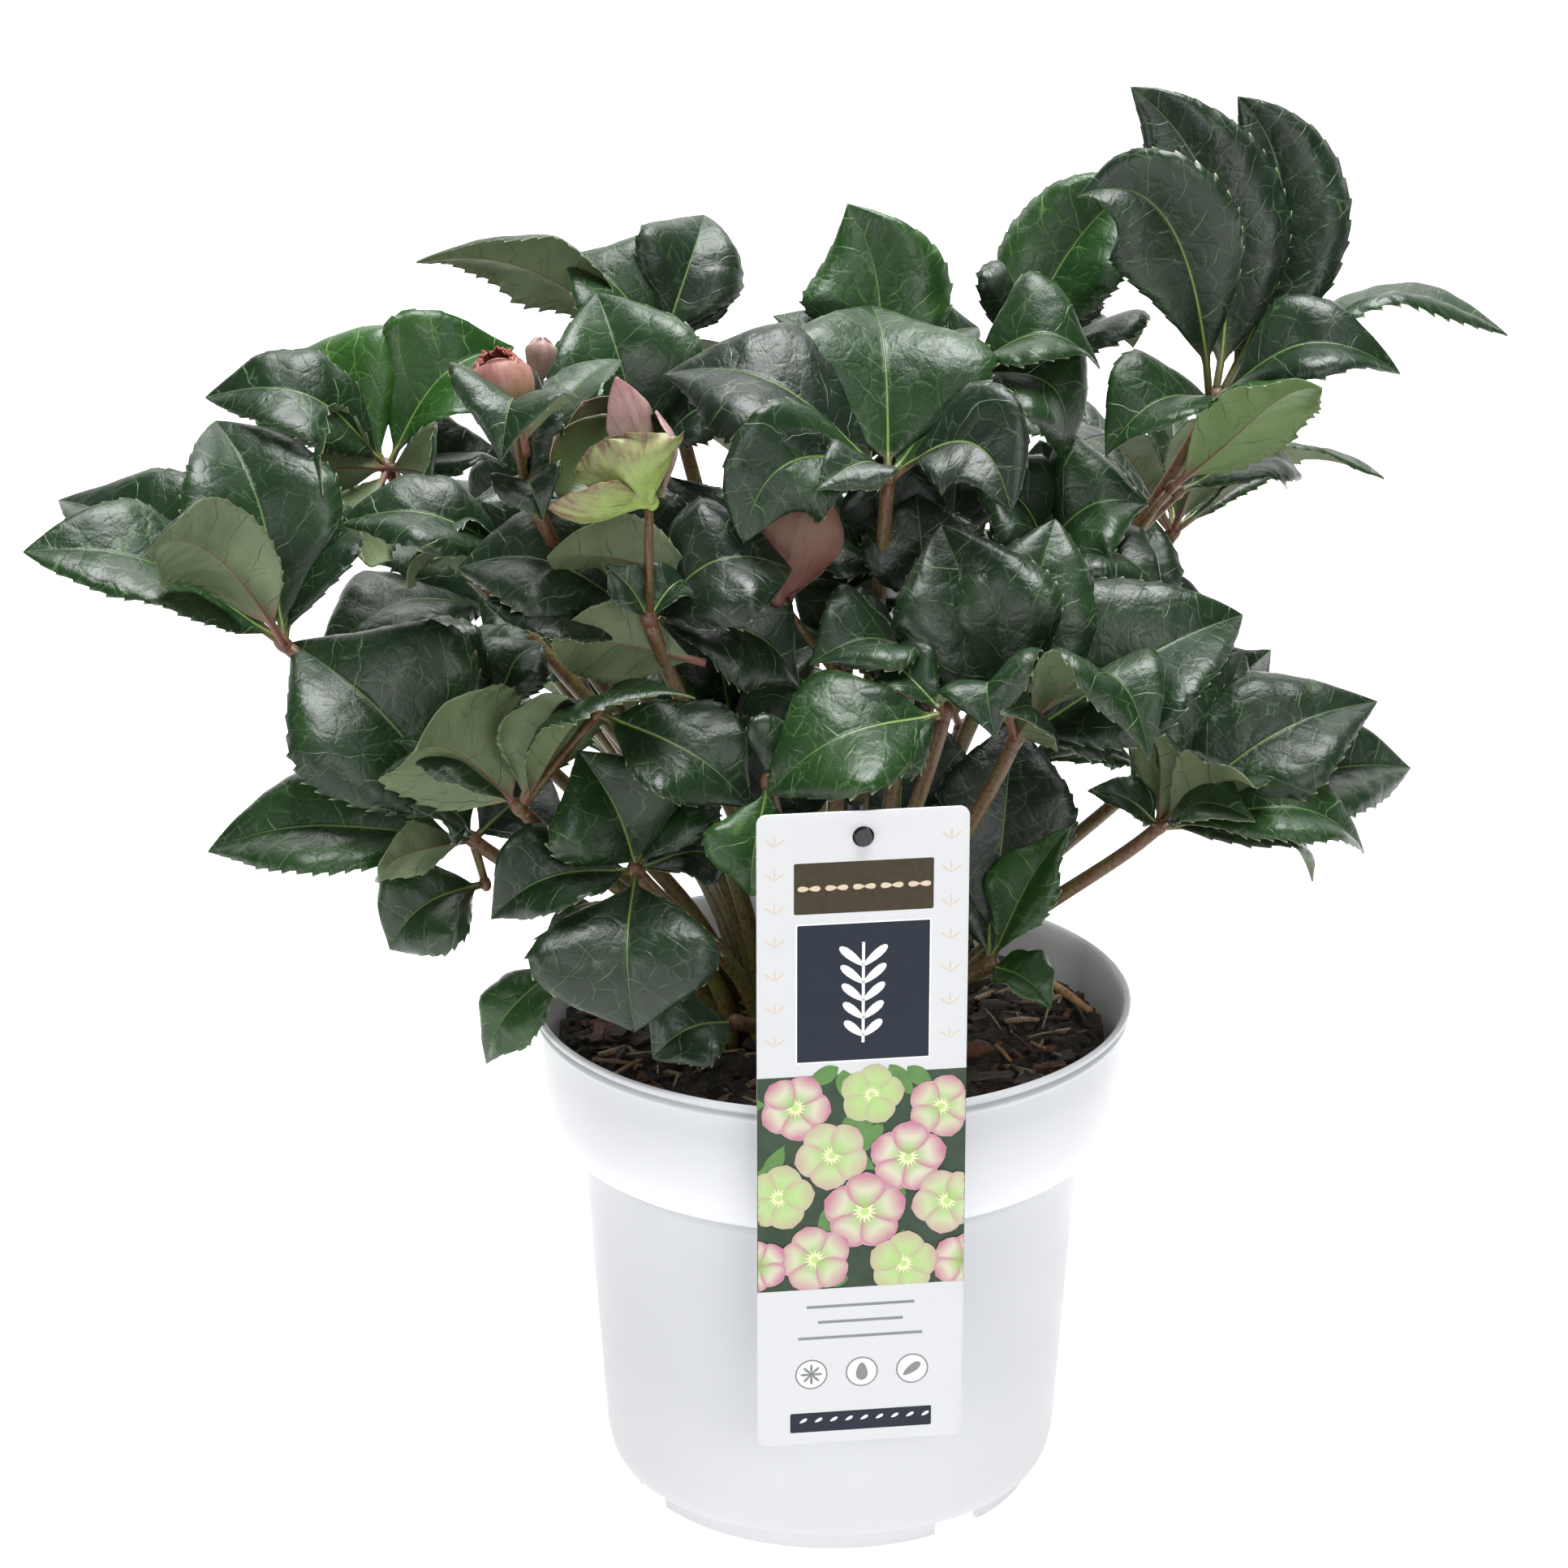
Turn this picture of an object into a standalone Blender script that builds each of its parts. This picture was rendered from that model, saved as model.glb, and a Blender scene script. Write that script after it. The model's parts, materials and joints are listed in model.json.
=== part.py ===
"""A potted hellebore: a white nursery pot of soil, leafy stems of toothed leaflets, blooms, buds and a tag.

Lengths are in millimetres and are turned into metres where a mesh is made. The origin is the middle of the
pot's underside, +Z is up, and the front of the plant faces -Y.
"""

import math
import random

import bmesh
import bpy
from mathutils import Quaternion, Vector
from mathutils.bvhtree import BVHTree

MM = 0.001
GAP = 0.3

# Pot
RIM_RADIUS = 95.0
POT_HEIGHT = 164.0
SHOULDER_Z = 116.0
SHOULDER_RADIUS = 78.0
BODY_TAPER = 0.075
BODY_FOOT_Z = 14.0
FLOOR_Z = 6.0
FLOOR_THICKNESS = 2.2
FOOT_RADIUS = 66.0
FOOT_WIDTH = 3.0
PAD_RADIUS = 14.0
POT_SIDES = 32
DRAIN_RADIUS = 6.0
DRAIN_CIRCLE = 44.0
DRAIN_COUNT = 6
NOTCH_WIDTH = 18.0
NOTCH_ANGLES = (-52, -152, 38, 128)

# Soil
SOIL_Z = 150.0
SOIL_RADIUS = 88.6
SOIL_RINGS = 5
SOIL_SIDES = 20
SOIL_BUMP = 1.6
HOLE_DEPTH = 16.0
STEM_ROOT_Z = SOIL_Z - HOLE_DEPTH + GAP
CHIP_COUNT = 8

# Tag and its stake
TAG_WIDTH = 63.0
TAG_HEIGHT = 205.0
TAG_THICKNESS = 0.8
TAG_CORNER = 3.0
CORNER_STEPS = 3
TAG_HOLE_RADIUS = 3.2
TAG_HOLE_DROP = 8.0
TAG_YAW = 8.0
TAG_PLACE = (8.0, -98.5)
TAG_TOP_Z = 261.0
STAKE_RADIUS = 2.4
PEG_RADIUS = 2.6
PEG_STANDS_OUT = 1.6
STAKE_Y = -84.0
STAKE_TOP_Z = TAG_TOP_Z - 3.0

# The place from which the plant's front is described: a little above, in front, and turned down to it
VIEW_DISTANCE = 1500.0
VIEW_PITCH = math.radians(19.8)
VIEW_ASIDE = 15.1
VIEW_ABOVE = 65.6

# Leaflets and stems
SHORT_LEAFLET = 46.0
LEAFLET_ROWS = 4
SEPAL_ROWS = 3
SEPAL_ROLL = 0.5
FOOT_SHARE = 0.14
TOOTH = 1.7
TOOTH_AT = 0.78
LAST_TOOTH_BACK = 0.45
RIB_HALF = 0.55
FOLD = 0.16
WAVE = 1.1
FRONT_LEAN = 0.55
FRONT_LIMIT = 90.0
STEM_FOOT_RADIUS = 2.3
STEM_TOP_RADIUS = 1.8
STEM_SIDES = 5
STEM_STEPS = 4
HUB_RADIUS = 3.0
HEART_RADIUS = 3.0
KNOT_RADIUS = 1.9
TWIG_FOOT_RADIUS = 1.5
TWIG_RADIUS = 1.2
CLEAR = 1.5
OWN_START = 0.22
TURNS = (7, 14, 21, 28, 36)
SHARES = (1.0, 0.86, 0.72)
BEND_REACHES = (6, 12, 18, 26, 34)
BEND_TURNS = (0.0, 1.57, 3.14, 4.71, 0.8, 2.4, 3.9, 5.5)
FOOT_SPACING = 9.0

# Each leafy stem: its fork as (across, up, back), and its leaflets as
# (across, up, back, width, arch) of the tip, with the place of its own foot where it leaves a twig.
# Across and up are as seen from the front, from the middle of the rim; back is along +Y from the pot's axis.
LEAFY_STEMS = {
    "right_centre": ((58, 79, -42), [
        (35, 148, -22, 48, 8), (74, 151, -28, 47, 8), (132, 122, -34, 54, 12), (100, 73, -68, 33, 12),
        (44, 80, -72, 32, 6), (80, 89, -74, 28, 6), (98, 82, -30, 26, 6)]),
    "centre": ((18, 163, -14), [
        (-55, 200, 0, 50, 16), (9, 226, 22, 61, 7), (57, 153, -36, 50, 26), (-27, 140, -38, 47, 24),
        (44, 196, 8, 28, 8), (-8, 152, -44, 21, 8)]),
    "left_low": ((-114, 48, -30), [
        (-174, 114, -12, 62, 9), (-201, 48, -28, 37, 8), (-149, 35, -66, 26, 5), (-129, 67, -38, 22, 5),
        (-142, 17, -42, 32, 9, (-110, 34, -26))]),
    "left_centre": ((-99, 58, -48), [
        (-134, 78, -72, 47, 9), (-45, 102, -66, 38, 10), (-140, 83, -42, 20, 7),
        (-21, 62, -48, 37, 9, (-74, 88, -46)), (-84, 92, -76, 28, 6)]),
    "low_front": ((-62, 38, -52), [
        (-84, 77, -38, 45, 6), (-45, 75, -36, 40, 6), (-109, 54, -58, 33, 8), (-62, -17, -84, 54, 15),
        (-30, 40, -40, 26, 6)]),
    "right_low": ((104, 52, -26), [
        (175, 94, -6, 42, 10), (187, 74, 10, 32, 8), (177, 51, -32, 38, 14), (160, 41, -12, 28, 8),
        (135, 66, -58, 28, 8), (107, 85, -34, 24, 4), (133, 111, 2, 38, 6), (96, 78, -44, 20, 5),
        (131, 75, -38, 24, 5)]),
    "far_left": ((-174, 110, -8), [
        (-193, 186, 16, 61, 8), (-255, 146, -34, 42, 12), (-248, 163, 24, 42, 10), (-218, 137, -60, 33, 6),
        (-155, 131, -44, 33, 6), (-150, 157, 4, 42, 8)]),
    "top_right": ((122, 188, 30), [
        (96, 286, 50, 52, 9), (77, 252, 16, 52, 17), (144, 282, 62, 54, 9), (182, 195, 8, 38, 12),
        (217, 215, 40, 42, 12), (162, 197, -6, 35, 4, (108, 160, 22)), (84, 174, 0, 32, 10),
        (153, 170, 44, 28, 7, (110, 158, 30))]),
    "upper_left": ((-141, 166, 40), [
        (-200, 190, 30, 39, 13), (-177, 207, 58, 52, 7), (-105, 214, 58, 42, 7), (-169, 159, 2, 40, 7),
        (-124, 172, 8, 30, 7), (-157, 160, -4, 26, 4), (-102, 168, 52, 31, 5)]),
    "middle_left": ((-58, 117, -34), [
        (-121, 139, -36, 42, 11), (-10, 137, -38, 40, 12), (-91, 109, -66, 40, 7), (-6, 93, -42, 35, 8),
        (-64, 92, -66, 31, 7), (-76, 146, -14, 31, 6)]),
    "inner_left": ((-99, 137, -6), [
        (-157, 150, -12, 33, 12), (-136, 130, -24, 31, 8), (-96, 131, -46, 21, 8), (-95, 166, 8, 26, 4),
        (-68, 142, 16, 31, 6)]),
    "front_bright": ((36, 88, -58), [
        (-23, 63, -76, 47, 13), (30, 122, -56, 35, 5), (10, 62, -84, 31, 8)]),
    "centre_back": ((12, 190, 46), [
        (7, 250, 60, 54, 6), (-18, 217, 54, 26, 5), (48, 214, 62, 38, 6), (34, 176, 8, 31, 7),
        (-22, 184, 62, 33, 6)]),
    "inner_right": ((42, 196, 24), [
        (89, 204, 16, 33, 10), (82, 170, 6, 38, 14), (84, 182, 30, 31, 6), (56, 180, -10, 31, 6)]),
    "tall_right": ((60, 199, 48), [
        (99, 262, 62, 55, 10), (64, 236, 66, 38, 6), (97, 214, 84, 40, 6)]),
    "behind_left": ((-57, 168, 48), [
        (-74, 225, 58, 47, 7), (-22, 186, 44, 33, 9), (-92, 190, 68, 35, 7), (-38, 208, 88, 40, 7)]),
    "back_left": ((-54, 204, 88), [
        (-132, 239, 80, 37, 7), (-84, 236, 98, 40, 6), (-39, 249, 112, 47, 6), (-22, 222, 120, 40, 6)]),
    "middle_right": ((68, 141, 8), [
        (46, 164, 4, 35, 6), (100, 160, 6, 40, 6), (101, 148, -20, 31, 6), (94, 126, 26, 35, 8)]),
    "middle_front": ((26, 108, -24), [
        (-24, 112, -26, 33, 8), (-10, 126, -10, 35, 6), (12, 132, -8, 28, 6), (30, 92, -66, 21, 5)]),
    "left_shade": ((-106, 88, 2), [
        (-146, 111, -2, 35, 8), (-98, 116, 10, 28, 6), (-171, 86, -34, 38, 8), (-120, 120, 24, 35, 6)]),
    "rim_left": ((-78, 14, -30), [
        (-113, -21, -36, 32, 6), (-92, 28, -16, 24, 5)]),
    "low_right": ((50, 8, -24), [
        (74, 52, -18, 31, 4), (71, -5, -40, 21, 5), (68, 58, 6, 33, 5), (84, 46, 18, 31, 6)]),
    "front_hanging": ((-20, 66, -66), [
        (-27, 27, -78, 28, 5), (-8, 84, -58, 24, 5)]),
    "soil_leaf": ((-30, -10, -56), [
        (-58, -21, -70, 28, 6)]),
    "core_left": ((-32, 84, 6), [
        (-70, 116, 4, 38, 8), (-2, 118, 2, 38, 8), (-40, 70, -24, 34, 8), (8, 88, -6, 32, 7)]),
    "core_right": ((16, 132, 30), [
        (-20, 150, 24, 38, 8), (44, 160, 28, 36, 8), (-8, 110, 4, 34, 8), (40, 118, 6, 34, 8)]),
    "shade_right": ((78, 112, 50), [
        (44, 148, 62, 36, 8), (104, 152, 72, 38, 8), (128, 120, 56, 34, 7), (56, 122, 30, 30, 6)]),
    "shade_left": ((-80, 98, 54), [
        (-116, 132, 58, 36, 8), (-62, 142, 62, 38, 8), (-44, 112, 44, 32, 6), (-112, 100, 40, 32, 6)]),
}

# Stems behind, which the front doesn't show: the fork as (x, y, z), the leaflets' count and their length
BACK_STEMS = {
    "rear_left": ((-104, 86, 262), 6, 80),
    "rear_low_left": ((-70, 96, 206), 5, 68),
    "rear_centre": ((-8, 128, 282), 6, 84),
    "rear_low_right": ((44, 104, 216), 5, 70),
    "rear_right": ((112, 92, 288), 6, 82),
    "rear_side_right": ((104, 66, 214), 5, 62),
}

# Blooms: the heart as (across, up, back), the way it opens, and its sepals as (turn, length, width, opening)
BLOOMS = {
    "open_bloom": ((-74, 160, -58), (-0.1, -0.35, 0.93), [
        (100, 34, 35, 38), (320, 36, 33, 32), (230, 39, 22, 6), (182, 31, 25, 30), (40, 32, 31, 60)]),
    "large_bud": ((-104, 182, -44), (-0.1, -0.2, 1.0), [
        (0, 24, 23, 18), (120, 24, 23, 18), (240, 24, 23, 18)]),
    "small_bud": ((-93, 191, -26), (0.15, -0.1, 1.0), [
        (90, 15, 13, 14), (210, 15, 13, 14), (330, 15, 13, 14)]),
    "shaded_bloom": ((-6, 126, -20), (-0.1, -0.3, 0.9), [
        (170, 36, 27, 16), (60, 34, 26, 20), (-60, 34, 27, 18)]),
}

SEPAL_COLORS = {
    "open_bloom": (0.35, 0.42, 0.15),
    "large_bud": (0.45, 0.18, 0.16),
    "small_bud": (0.45, 0.22, 0.18),
    "shaded_bloom": (0.38, 0.16, 0.12),
}

# Flower stalks: the fork, the blooms it carries, and its leafy bracts as for a leafy stem
STALKS = {
    "bloom_stalk": ((-58, 118, -52), ["open_bloom"], [(-44, 132, -36, 15, 3), (-72, 136, -60, 13, 3)]),
    "bud_stalk": ((-97, 160, -40), ["large_bud", "small_bud"], [
        (-124, 188, -64, 26, 4), (-84, 198, -60, 25, 4), (-69, 207, -8, 27, 6), (-95, 141, -60, 22, 9)]),
    "shaded_stalk": ((2, 100, -22), ["shaded_bloom"], []),
}

view_forward = Vector((0, math.cos(VIEW_PITCH), -math.sin(VIEW_PITCH)))
view_up = Vector((0, math.sin(VIEW_PITCH), math.cos(VIEW_PITCH)))
rim_middle = Vector((0, 0, POT_HEIGHT))
view_eye = rim_middle - view_forward * VIEW_DISTANCE + Vector((-VIEW_ASIDE, 0, 0)) + view_up * VIEW_ABOVE


def seen(across, up, back):
    """The point seen at (across, up) in the plane through the rim's middle, at y = `back`."""
    ray = view_forward * VIEW_DISTANCE + Vector((across + VIEW_ASIDE, 0, 0)) + view_up * (up - VIEW_ABOVE)
    return view_eye + ray * ((back - view_eye.y) / ray.y)


def material(name, color, roughness):
    made = bpy.data.materials.new(name)
    made.use_nodes = True
    shader = made.node_tree.nodes["Principled BSDF"]
    shader.inputs["Base Color"].default_value = (*color, 1.0)
    shader.inputs["Roughness"].default_value = roughness
    shader.inputs["Metallic"].default_value = 0.0
    made.diffuse_color = (*color, 1.0)
    return made


def object_from(name, mesh_edit, finish=None):
    """A named object from a bmesh in millimetres."""
    bmesh.ops.scale(mesh_edit, vec=(MM, MM, MM), verts=mesh_edit.verts)
    bmesh.ops.recalc_face_normals(mesh_edit, faces=mesh_edit.faces)
    mesh = bpy.data.meshes.new(name)
    mesh_edit.to_mesh(mesh)
    mesh_edit.free()
    made = bpy.data.objects.new(name, mesh)
    bpy.context.collection.objects.link(made)
    if finish:
        mesh.materials.append(finish)
    return made


def apply_modifiers(target):
    bpy.context.view_layer.objects.active = target
    for modifier in list(target.modifiers):
        bpy.ops.object.modifier_apply(modifier=modifier.name)


def boolean(target, pieces, operation, solver="EXACT"):
    """Joins or cuts the target with the pieces by one Boolean on a collection, then removes the pieces."""
    group = bpy.data.collections.new(target.name + "_pieces")
    for piece in pieces:
        bpy.context.collection.objects.unlink(piece)
        group.objects.link(piece)
    bpy.context.scene.collection.children.link(group)
    modifier = target.modifiers.new(operation.title(), "BOOLEAN")
    modifier.operation = operation
    modifier.operand_type = "COLLECTION"
    modifier.collection = group
    modifier.solver = solver
    apply_modifiers(target)
    for piece in list(group.objects):
        bpy.data.objects.remove(piece)
    bpy.data.collections.remove(group)


def shade_round(target, angle=35):
    target.data.shade_smooth()
    target.data.set_sharp_from_angle(angle=math.radians(angle))


def turned(name, profile, sides, finish):
    """A body of revolution about Z from (radius, height) points, its ends on the axis."""
    edit = bmesh.new()
    points = [edit.verts.new((radius, 0, height)) for radius, height in profile]
    edges = [edit.edges.new(pair) for pair in zip(points, points[1:])]
    bmesh.ops.spin(edit, geom=points + edges, axis=(0, 0, 1), cent=(0, 0, 0), steps=sides,
                   angle=math.tau, use_merge=True)
    bmesh.ops.remove_doubles(edit, verts=edit.verts, dist=0.01)
    return object_from(name, edit, finish)


def cylinder(name, radius, low, high, place=(0, 0), sides=16, finish=None):
    edit = bmesh.new()
    bmesh.ops.create_cone(edit, cap_ends=True, segments=sides, radius1=radius, radius2=radius,
                          depth=high - low)
    bmesh.ops.translate(edit, vec=(*place, (low + high) / 2), verts=edit.verts)
    return object_from(name, edit, finish)


def block(name, size, place, turn=0.0, finish=None):
    edit = bmesh.new()
    bmesh.ops.create_cube(edit, size=1.0)
    bmesh.ops.scale(edit, vec=size, verts=edit.verts)
    for vert in edit.verts:
        x, y = vert.co.x, vert.co.y
        vert.co.x = x * math.cos(turn) - y * math.sin(turn)
        vert.co.y = x * math.sin(turn) + y * math.cos(turn)
    bmesh.ops.translate(edit, vec=place, verts=edit.verts)
    return object_from(name, edit, finish)


def pot_outside():
    """(radius, height) down the outside: lip, bulged collar turned under, tapered body, rounded base."""
    below_rim = [(RIM_RADIUS, 0.0), (RIM_RADIUS, 2.6), (92.6, 4.6), (91.7, 22.0), (90.5, 34.0), (88.2, 41.0),
                 (83.6, 44.8), (80.0, 46.4)]
    base = [(72.6, 13.0), (71.6, 8.6), (69.2, 6.4)]
    return [(radius, POT_HEIGHT - drop) for radius, drop in below_rim] + base


def inner_radius(z):
    """The radius of the pot's inner wall at height z, up to the shoulder under its collar."""
    return SHOULDER_RADIUS - (SHOULDER_Z - z) * BODY_TAPER


def pot_inside():
    """(radius, height) up the inside wall."""
    return [(inner_radius(BODY_FOOT_Z), BODY_FOOT_Z), (SHOULDER_RADIUS, SHOULDER_Z), (88.0, SHOULDER_Z + 12),
            (RIM_RADIUS - 2.0, POT_HEIGHT)]


def make_pot():
    """The thin-walled pot, with drain holes in its floor and notches in its foot ring."""
    outside = pot_outside()
    foot = [(FOOT_RADIUS, FLOOR_Z), (FOOT_RADIUS - 0.6, 0.0), (FOOT_RADIUS - FOOT_WIDTH, 0.0),
            (FOOT_RADIUS - FOOT_WIDTH, FLOOR_Z), (PAD_RADIUS + 1.0, FLOOR_Z), (PAD_RADIUS, 0.0), (0.0, 0.0)]
    floor_top = FLOOR_Z + FLOOR_THICKNESS
    inside = [(0.0, floor_top), (inner_radius(floor_top) - 3.0, floor_top)] + pot_inside()
    plastic = material("white_plastic", (0.80, 0.83, 0.87), 0.35)
    pot = turned("pot", outside + foot + inside + [outside[0]], POT_SIDES, plastic)
    cutters = []
    for number in range(DRAIN_COUNT):
        angle = math.tau * number / DRAIN_COUNT
        spot = (DRAIN_CIRCLE * math.cos(angle), DRAIN_CIRCLE * math.sin(angle))
        cutters.append(cylinder(f"drain_{number}", DRAIN_RADIUS, FLOOR_Z - 2, floor_top + 2, spot, 8))
    for number, degrees in enumerate(NOTCH_ANGLES):
        angle = math.radians(degrees)
        spot = (FOOT_RADIUS * math.cos(angle), FOOT_RADIUS * math.sin(angle), 1.5)
        cutters.append(block(f"notch_{number}", (12, NOTCH_WIDTH, 7.0), spot, angle))
    boolean(pot, cutters, "DIFFERENCE")
    shade_round(pot)
    return pot


def soil_height(x, y):
    """The bumpy top of the soil, higher round the crown."""
    reach = math.hypot(x, y)
    bumps = math.sin(x * 0.21 + 1.3) * math.sin(y * 0.17 + 0.4) + 0.6 * math.sin(x * 0.47 - y * 0.39)
    return SOIL_Z + SOIL_BUMP * bumps + 4.0 * math.exp(-(reach / 45.0) ** 2)


def soil_chips():
    """Wood chips laid on the soil by a rule: (x, y, length, width, turn)."""
    draw = random.Random(19)
    chips = []
    for number in range(CHIP_COUNT):
        angle = math.tau * (number + draw.uniform(0.1, 0.9)) / CHIP_COUNT
        reach = draw.uniform(62, 74)
        chips.append((reach * math.cos(angle), reach * math.sin(angle), draw.uniform(9, 17),
                      draw.uniform(2.5, 4.5), draw.uniform(0, math.pi)))
    return chips


def make_soil(holes):
    """The soil plug with its bumpy top and chips, and a plain hole for each stem."""
    edit = bmesh.new()
    rings = []
    angles = [math.tau * number / SOIL_SIDES for number in range(SOIL_SIDES)]
    for ring in range(1, SOIL_RINGS + 1):
        reach = SOIL_RADIUS * ring / SOIL_RINGS
        spots = [(reach * math.cos(angle), reach * math.sin(angle)) for angle in angles]
        rings.append([edit.verts.new((x, y, soil_height(x, y))) for x, y in spots])
    middle = edit.verts.new((0, 0, soil_height(0, 0)))
    low_ring = [(83.2, SHOULDER_Z + 8), (SHOULDER_RADIUS - 1.2, SHOULDER_Z - 0.5),
                (inner_radius(BODY_FOOT_Z) - 1.0, BODY_FOOT_Z),
                (inner_radius(BODY_FOOT_Z) - 3.6, FLOOR_Z + FLOOR_THICKNESS + GAP)]
    for reach, height in low_ring:
        rings.append([edit.verts.new((reach * math.cos(angle), reach * math.sin(angle), height))
                      for angle in angles])
    for number in range(SOIL_SIDES):
        edit.faces.new((middle, rings[0][number], rings[0][(number + 1) % SOIL_SIDES]))
    for inner, outer in zip(rings, rings[1:]):
        for number in range(SOIL_SIDES):
            after = (number + 1) % SOIL_SIDES
            edit.faces.new((inner[number], outer[number], outer[after], inner[after]))
    edit.faces.new(rings[-1])
    bmesh.ops.triangulate(edit, faces=edit.faces)
    soil = object_from("soil", edit, material("dark_soil", (0.035, 0.024, 0.018), 0.95))
    chips = []
    for number, (x, y, length, width, turn) in enumerate(soil_chips()):
        place = (x, y, soil_height(x, y) + 0.3)
        chips.append(block(f"chip_{number}", (length, width, 2.6), place, turn))
    boolean(soil, chips, "UNION")
    boolean(soil, holes, "DIFFERENCE")
    return soil


def tag_turned(x, y, z):
    """A point of the tag, given in its own plane, turned by its yaw and set in front of the rim."""
    yaw = math.radians(TAG_YAW)
    across = TAG_PLACE[0] + x * math.cos(yaw) - y * math.sin(yaw)
    return (across, TAG_PLACE[1] + x * math.sin(yaw) + y * math.cos(yaw), z)


def make_tag():
    """A thin upright card with round corners and a round hole near its top."""
    edit = bmesh.new()
    corners = []
    half_width, half_height = TAG_WIDTH / 2 - TAG_CORNER, TAG_HEIGHT / 2 - TAG_CORNER
    for quarter, (side, level) in enumerate(((1, 1), (-1, 1), (-1, -1), (1, -1))):
        for step in range(CORNER_STEPS + 1):
            angle = math.radians(90 * (quarter + step / CORNER_STEPS))
            corners.append((side * half_width + TAG_CORNER * math.cos(angle),
                            level * half_height + TAG_CORNER * math.sin(angle)))
    face = edit.faces.new([edit.verts.new((x, -TAG_THICKNESS / 2, z)) for x, z in corners])
    pushed = bmesh.ops.extrude_face_region(edit, geom=[face])["geom"]
    rear = [item for item in pushed if isinstance(item, bmesh.types.BMVert)]
    bmesh.ops.translate(edit, vec=(0, TAG_THICKNESS, 0), verts=rear)
    middle_z = TAG_TOP_Z - TAG_HEIGHT / 2
    for vert in edit.verts:
        vert.co = tag_turned(vert.co.x, vert.co.y, vert.co.z + middle_z)
    tag = object_from("tag", edit, material("white_card", (0.85, 0.85, 0.84), 0.3))
    hole = peg_shape("tag_hole", TAG_HOLE_RADIUS, -4.0, 4.0)
    boolean(tag, [hole], "DIFFERENCE")
    return tag


def peg_shape(name, radius, front, rear):
    """A round bar through the tag's hole, from `front` to `rear` of the tag's own plane."""
    edit = bmesh.new()
    bmesh.ops.create_cone(edit, cap_ends=True, segments=16, radius1=radius, radius2=radius,
                          depth=rear - front)
    for vert in edit.verts:
        x, y, z = vert.co
        vert.co = tag_turned(x, z + (front + rear) / 2, y + TAG_TOP_Z - TAG_HOLE_DROP)
    return object_from(name, edit)


def stake_place():
    return (TAG_PLACE[0] - math.sin(math.radians(TAG_YAW)) * (STAKE_Y - TAG_PLACE[1]), STAKE_Y)


def make_stake():
    """A thin dark stick in the soil, with a peg at its head that the tag hangs on."""
    x, y = stake_place()
    stake = cylinder("tag_stake", STAKE_RADIUS, STEM_ROOT_Z, STAKE_TOP_Z, (x, y), 12,
                     material("dark_plastic", (0.03, 0.03, 0.035), 0.4))
    boolean(stake, [peg_shape("peg", PEG_RADIUS, -PEG_STANDS_OUT, STAKE_Y - TAG_PLACE[1] + 1.0)], "UNION")
    shade_round(stake)
    return stake


def outline(u, peak, fullness):
    """Half the leaflet's breadth along its length, as a share of its widest: a narrow foot, then full."""
    u = (u - FOOT_SHARE) / (1 - FOOT_SHARE)
    return math.sin(math.pi * u ** peak) ** fullness if 0 < u < 1 else 0.0


class Blade:
    """One leaflet or sepal: an arched midrib from foot to tip, a folded and waved blade on either side."""

    def __init__(self, foot, tip, axis, width, arch, number, peak=1.1, fullness=0.85, fold=FOLD,
                 tooth=TOOTH, rows=None):
        self.foot = foot
        self.chord = tip - foot
        self.face = (axis - self.chord * axis.dot(self.chord) / self.chord.length_squared).normalized()
        self.width, self.arch = width, arch
        self.peak, self.fullness, self.fold, self.tooth = peak, fullness, fold, tooth
        self.phase = number * 2.4
        self.rows = rows or LEAFLET_ROWS - (self.chord.length < SHORT_LEAFLET)

    def spine(self, u):
        return self.foot + self.chord * u + self.face * self.arch * math.sin(math.pi * u ** 1.15)

    def frame(self, u):
        along = (self.spine(min(u + 0.02, 1.0)) - self.spine(max(u - 0.02, 0.0))).normalized()
        side = along.cross(self.face).normalized()
        return side, side.cross(along)

    def edge(self, u, sign, extra=0.0):
        side, normal = self.frame(u)
        share = outline(u, self.peak, self.fullness)
        half = max(self.width / 2 * share, 1.0) + extra
        wave = WAVE * share * math.sin(9.0 * u + self.phase + 1.3 * sign)
        return self.spine(u) + side * sign * half + normal * (self.fold * half + wave)

    def rib(self, u, lift):
        return self.spine(u) + self.frame(u)[1] * lift


def blade_mesh(blade):
    """Both faces of the blade meet along its toothed edge and part at the rib."""
    edit = bmesh.new()
    rows = blade.rows
    tip = edit.verts.new(blade.spine(1.0))
    top = [edit.verts.new(blade.rib(row / rows, RIB_HALF)) for row in range(rows)]
    low = [edit.verts.new(blade.rib(row / rows, -RIB_HALF)) for row in range(rows)]
    for sign in (-1, 1):
        notches = [edit.verts.new(blade.edge(row / rows, sign)) for row in range(rows)] + [tip]
        points = [edit.verts.new(blade.edge((row + TOOTH_AT) / rows, sign, blade.tooth))
                  for row in range(rows - 1)]
        points.append(edit.verts.new(blade.edge((rows - LAST_TOOTH_BACK) / rows, sign, blade.tooth * 0.5)))
        for ribs in (top + [tip], low + [tip]):
            for row in range(rows):
                edit.faces.new((ribs[row], notches[row], points[row]))
                if row < rows - 1:
                    edit.faces.new((ribs[row], points[row], ribs[row + 1]))
                    edit.faces.new((ribs[row + 1], points[row], notches[row + 1]))
                else:
                    edit.faces.new((ribs[row], points[row], tip))
        edit.faces.new((top[0], low[0], notches[0]))
    return edit


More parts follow.
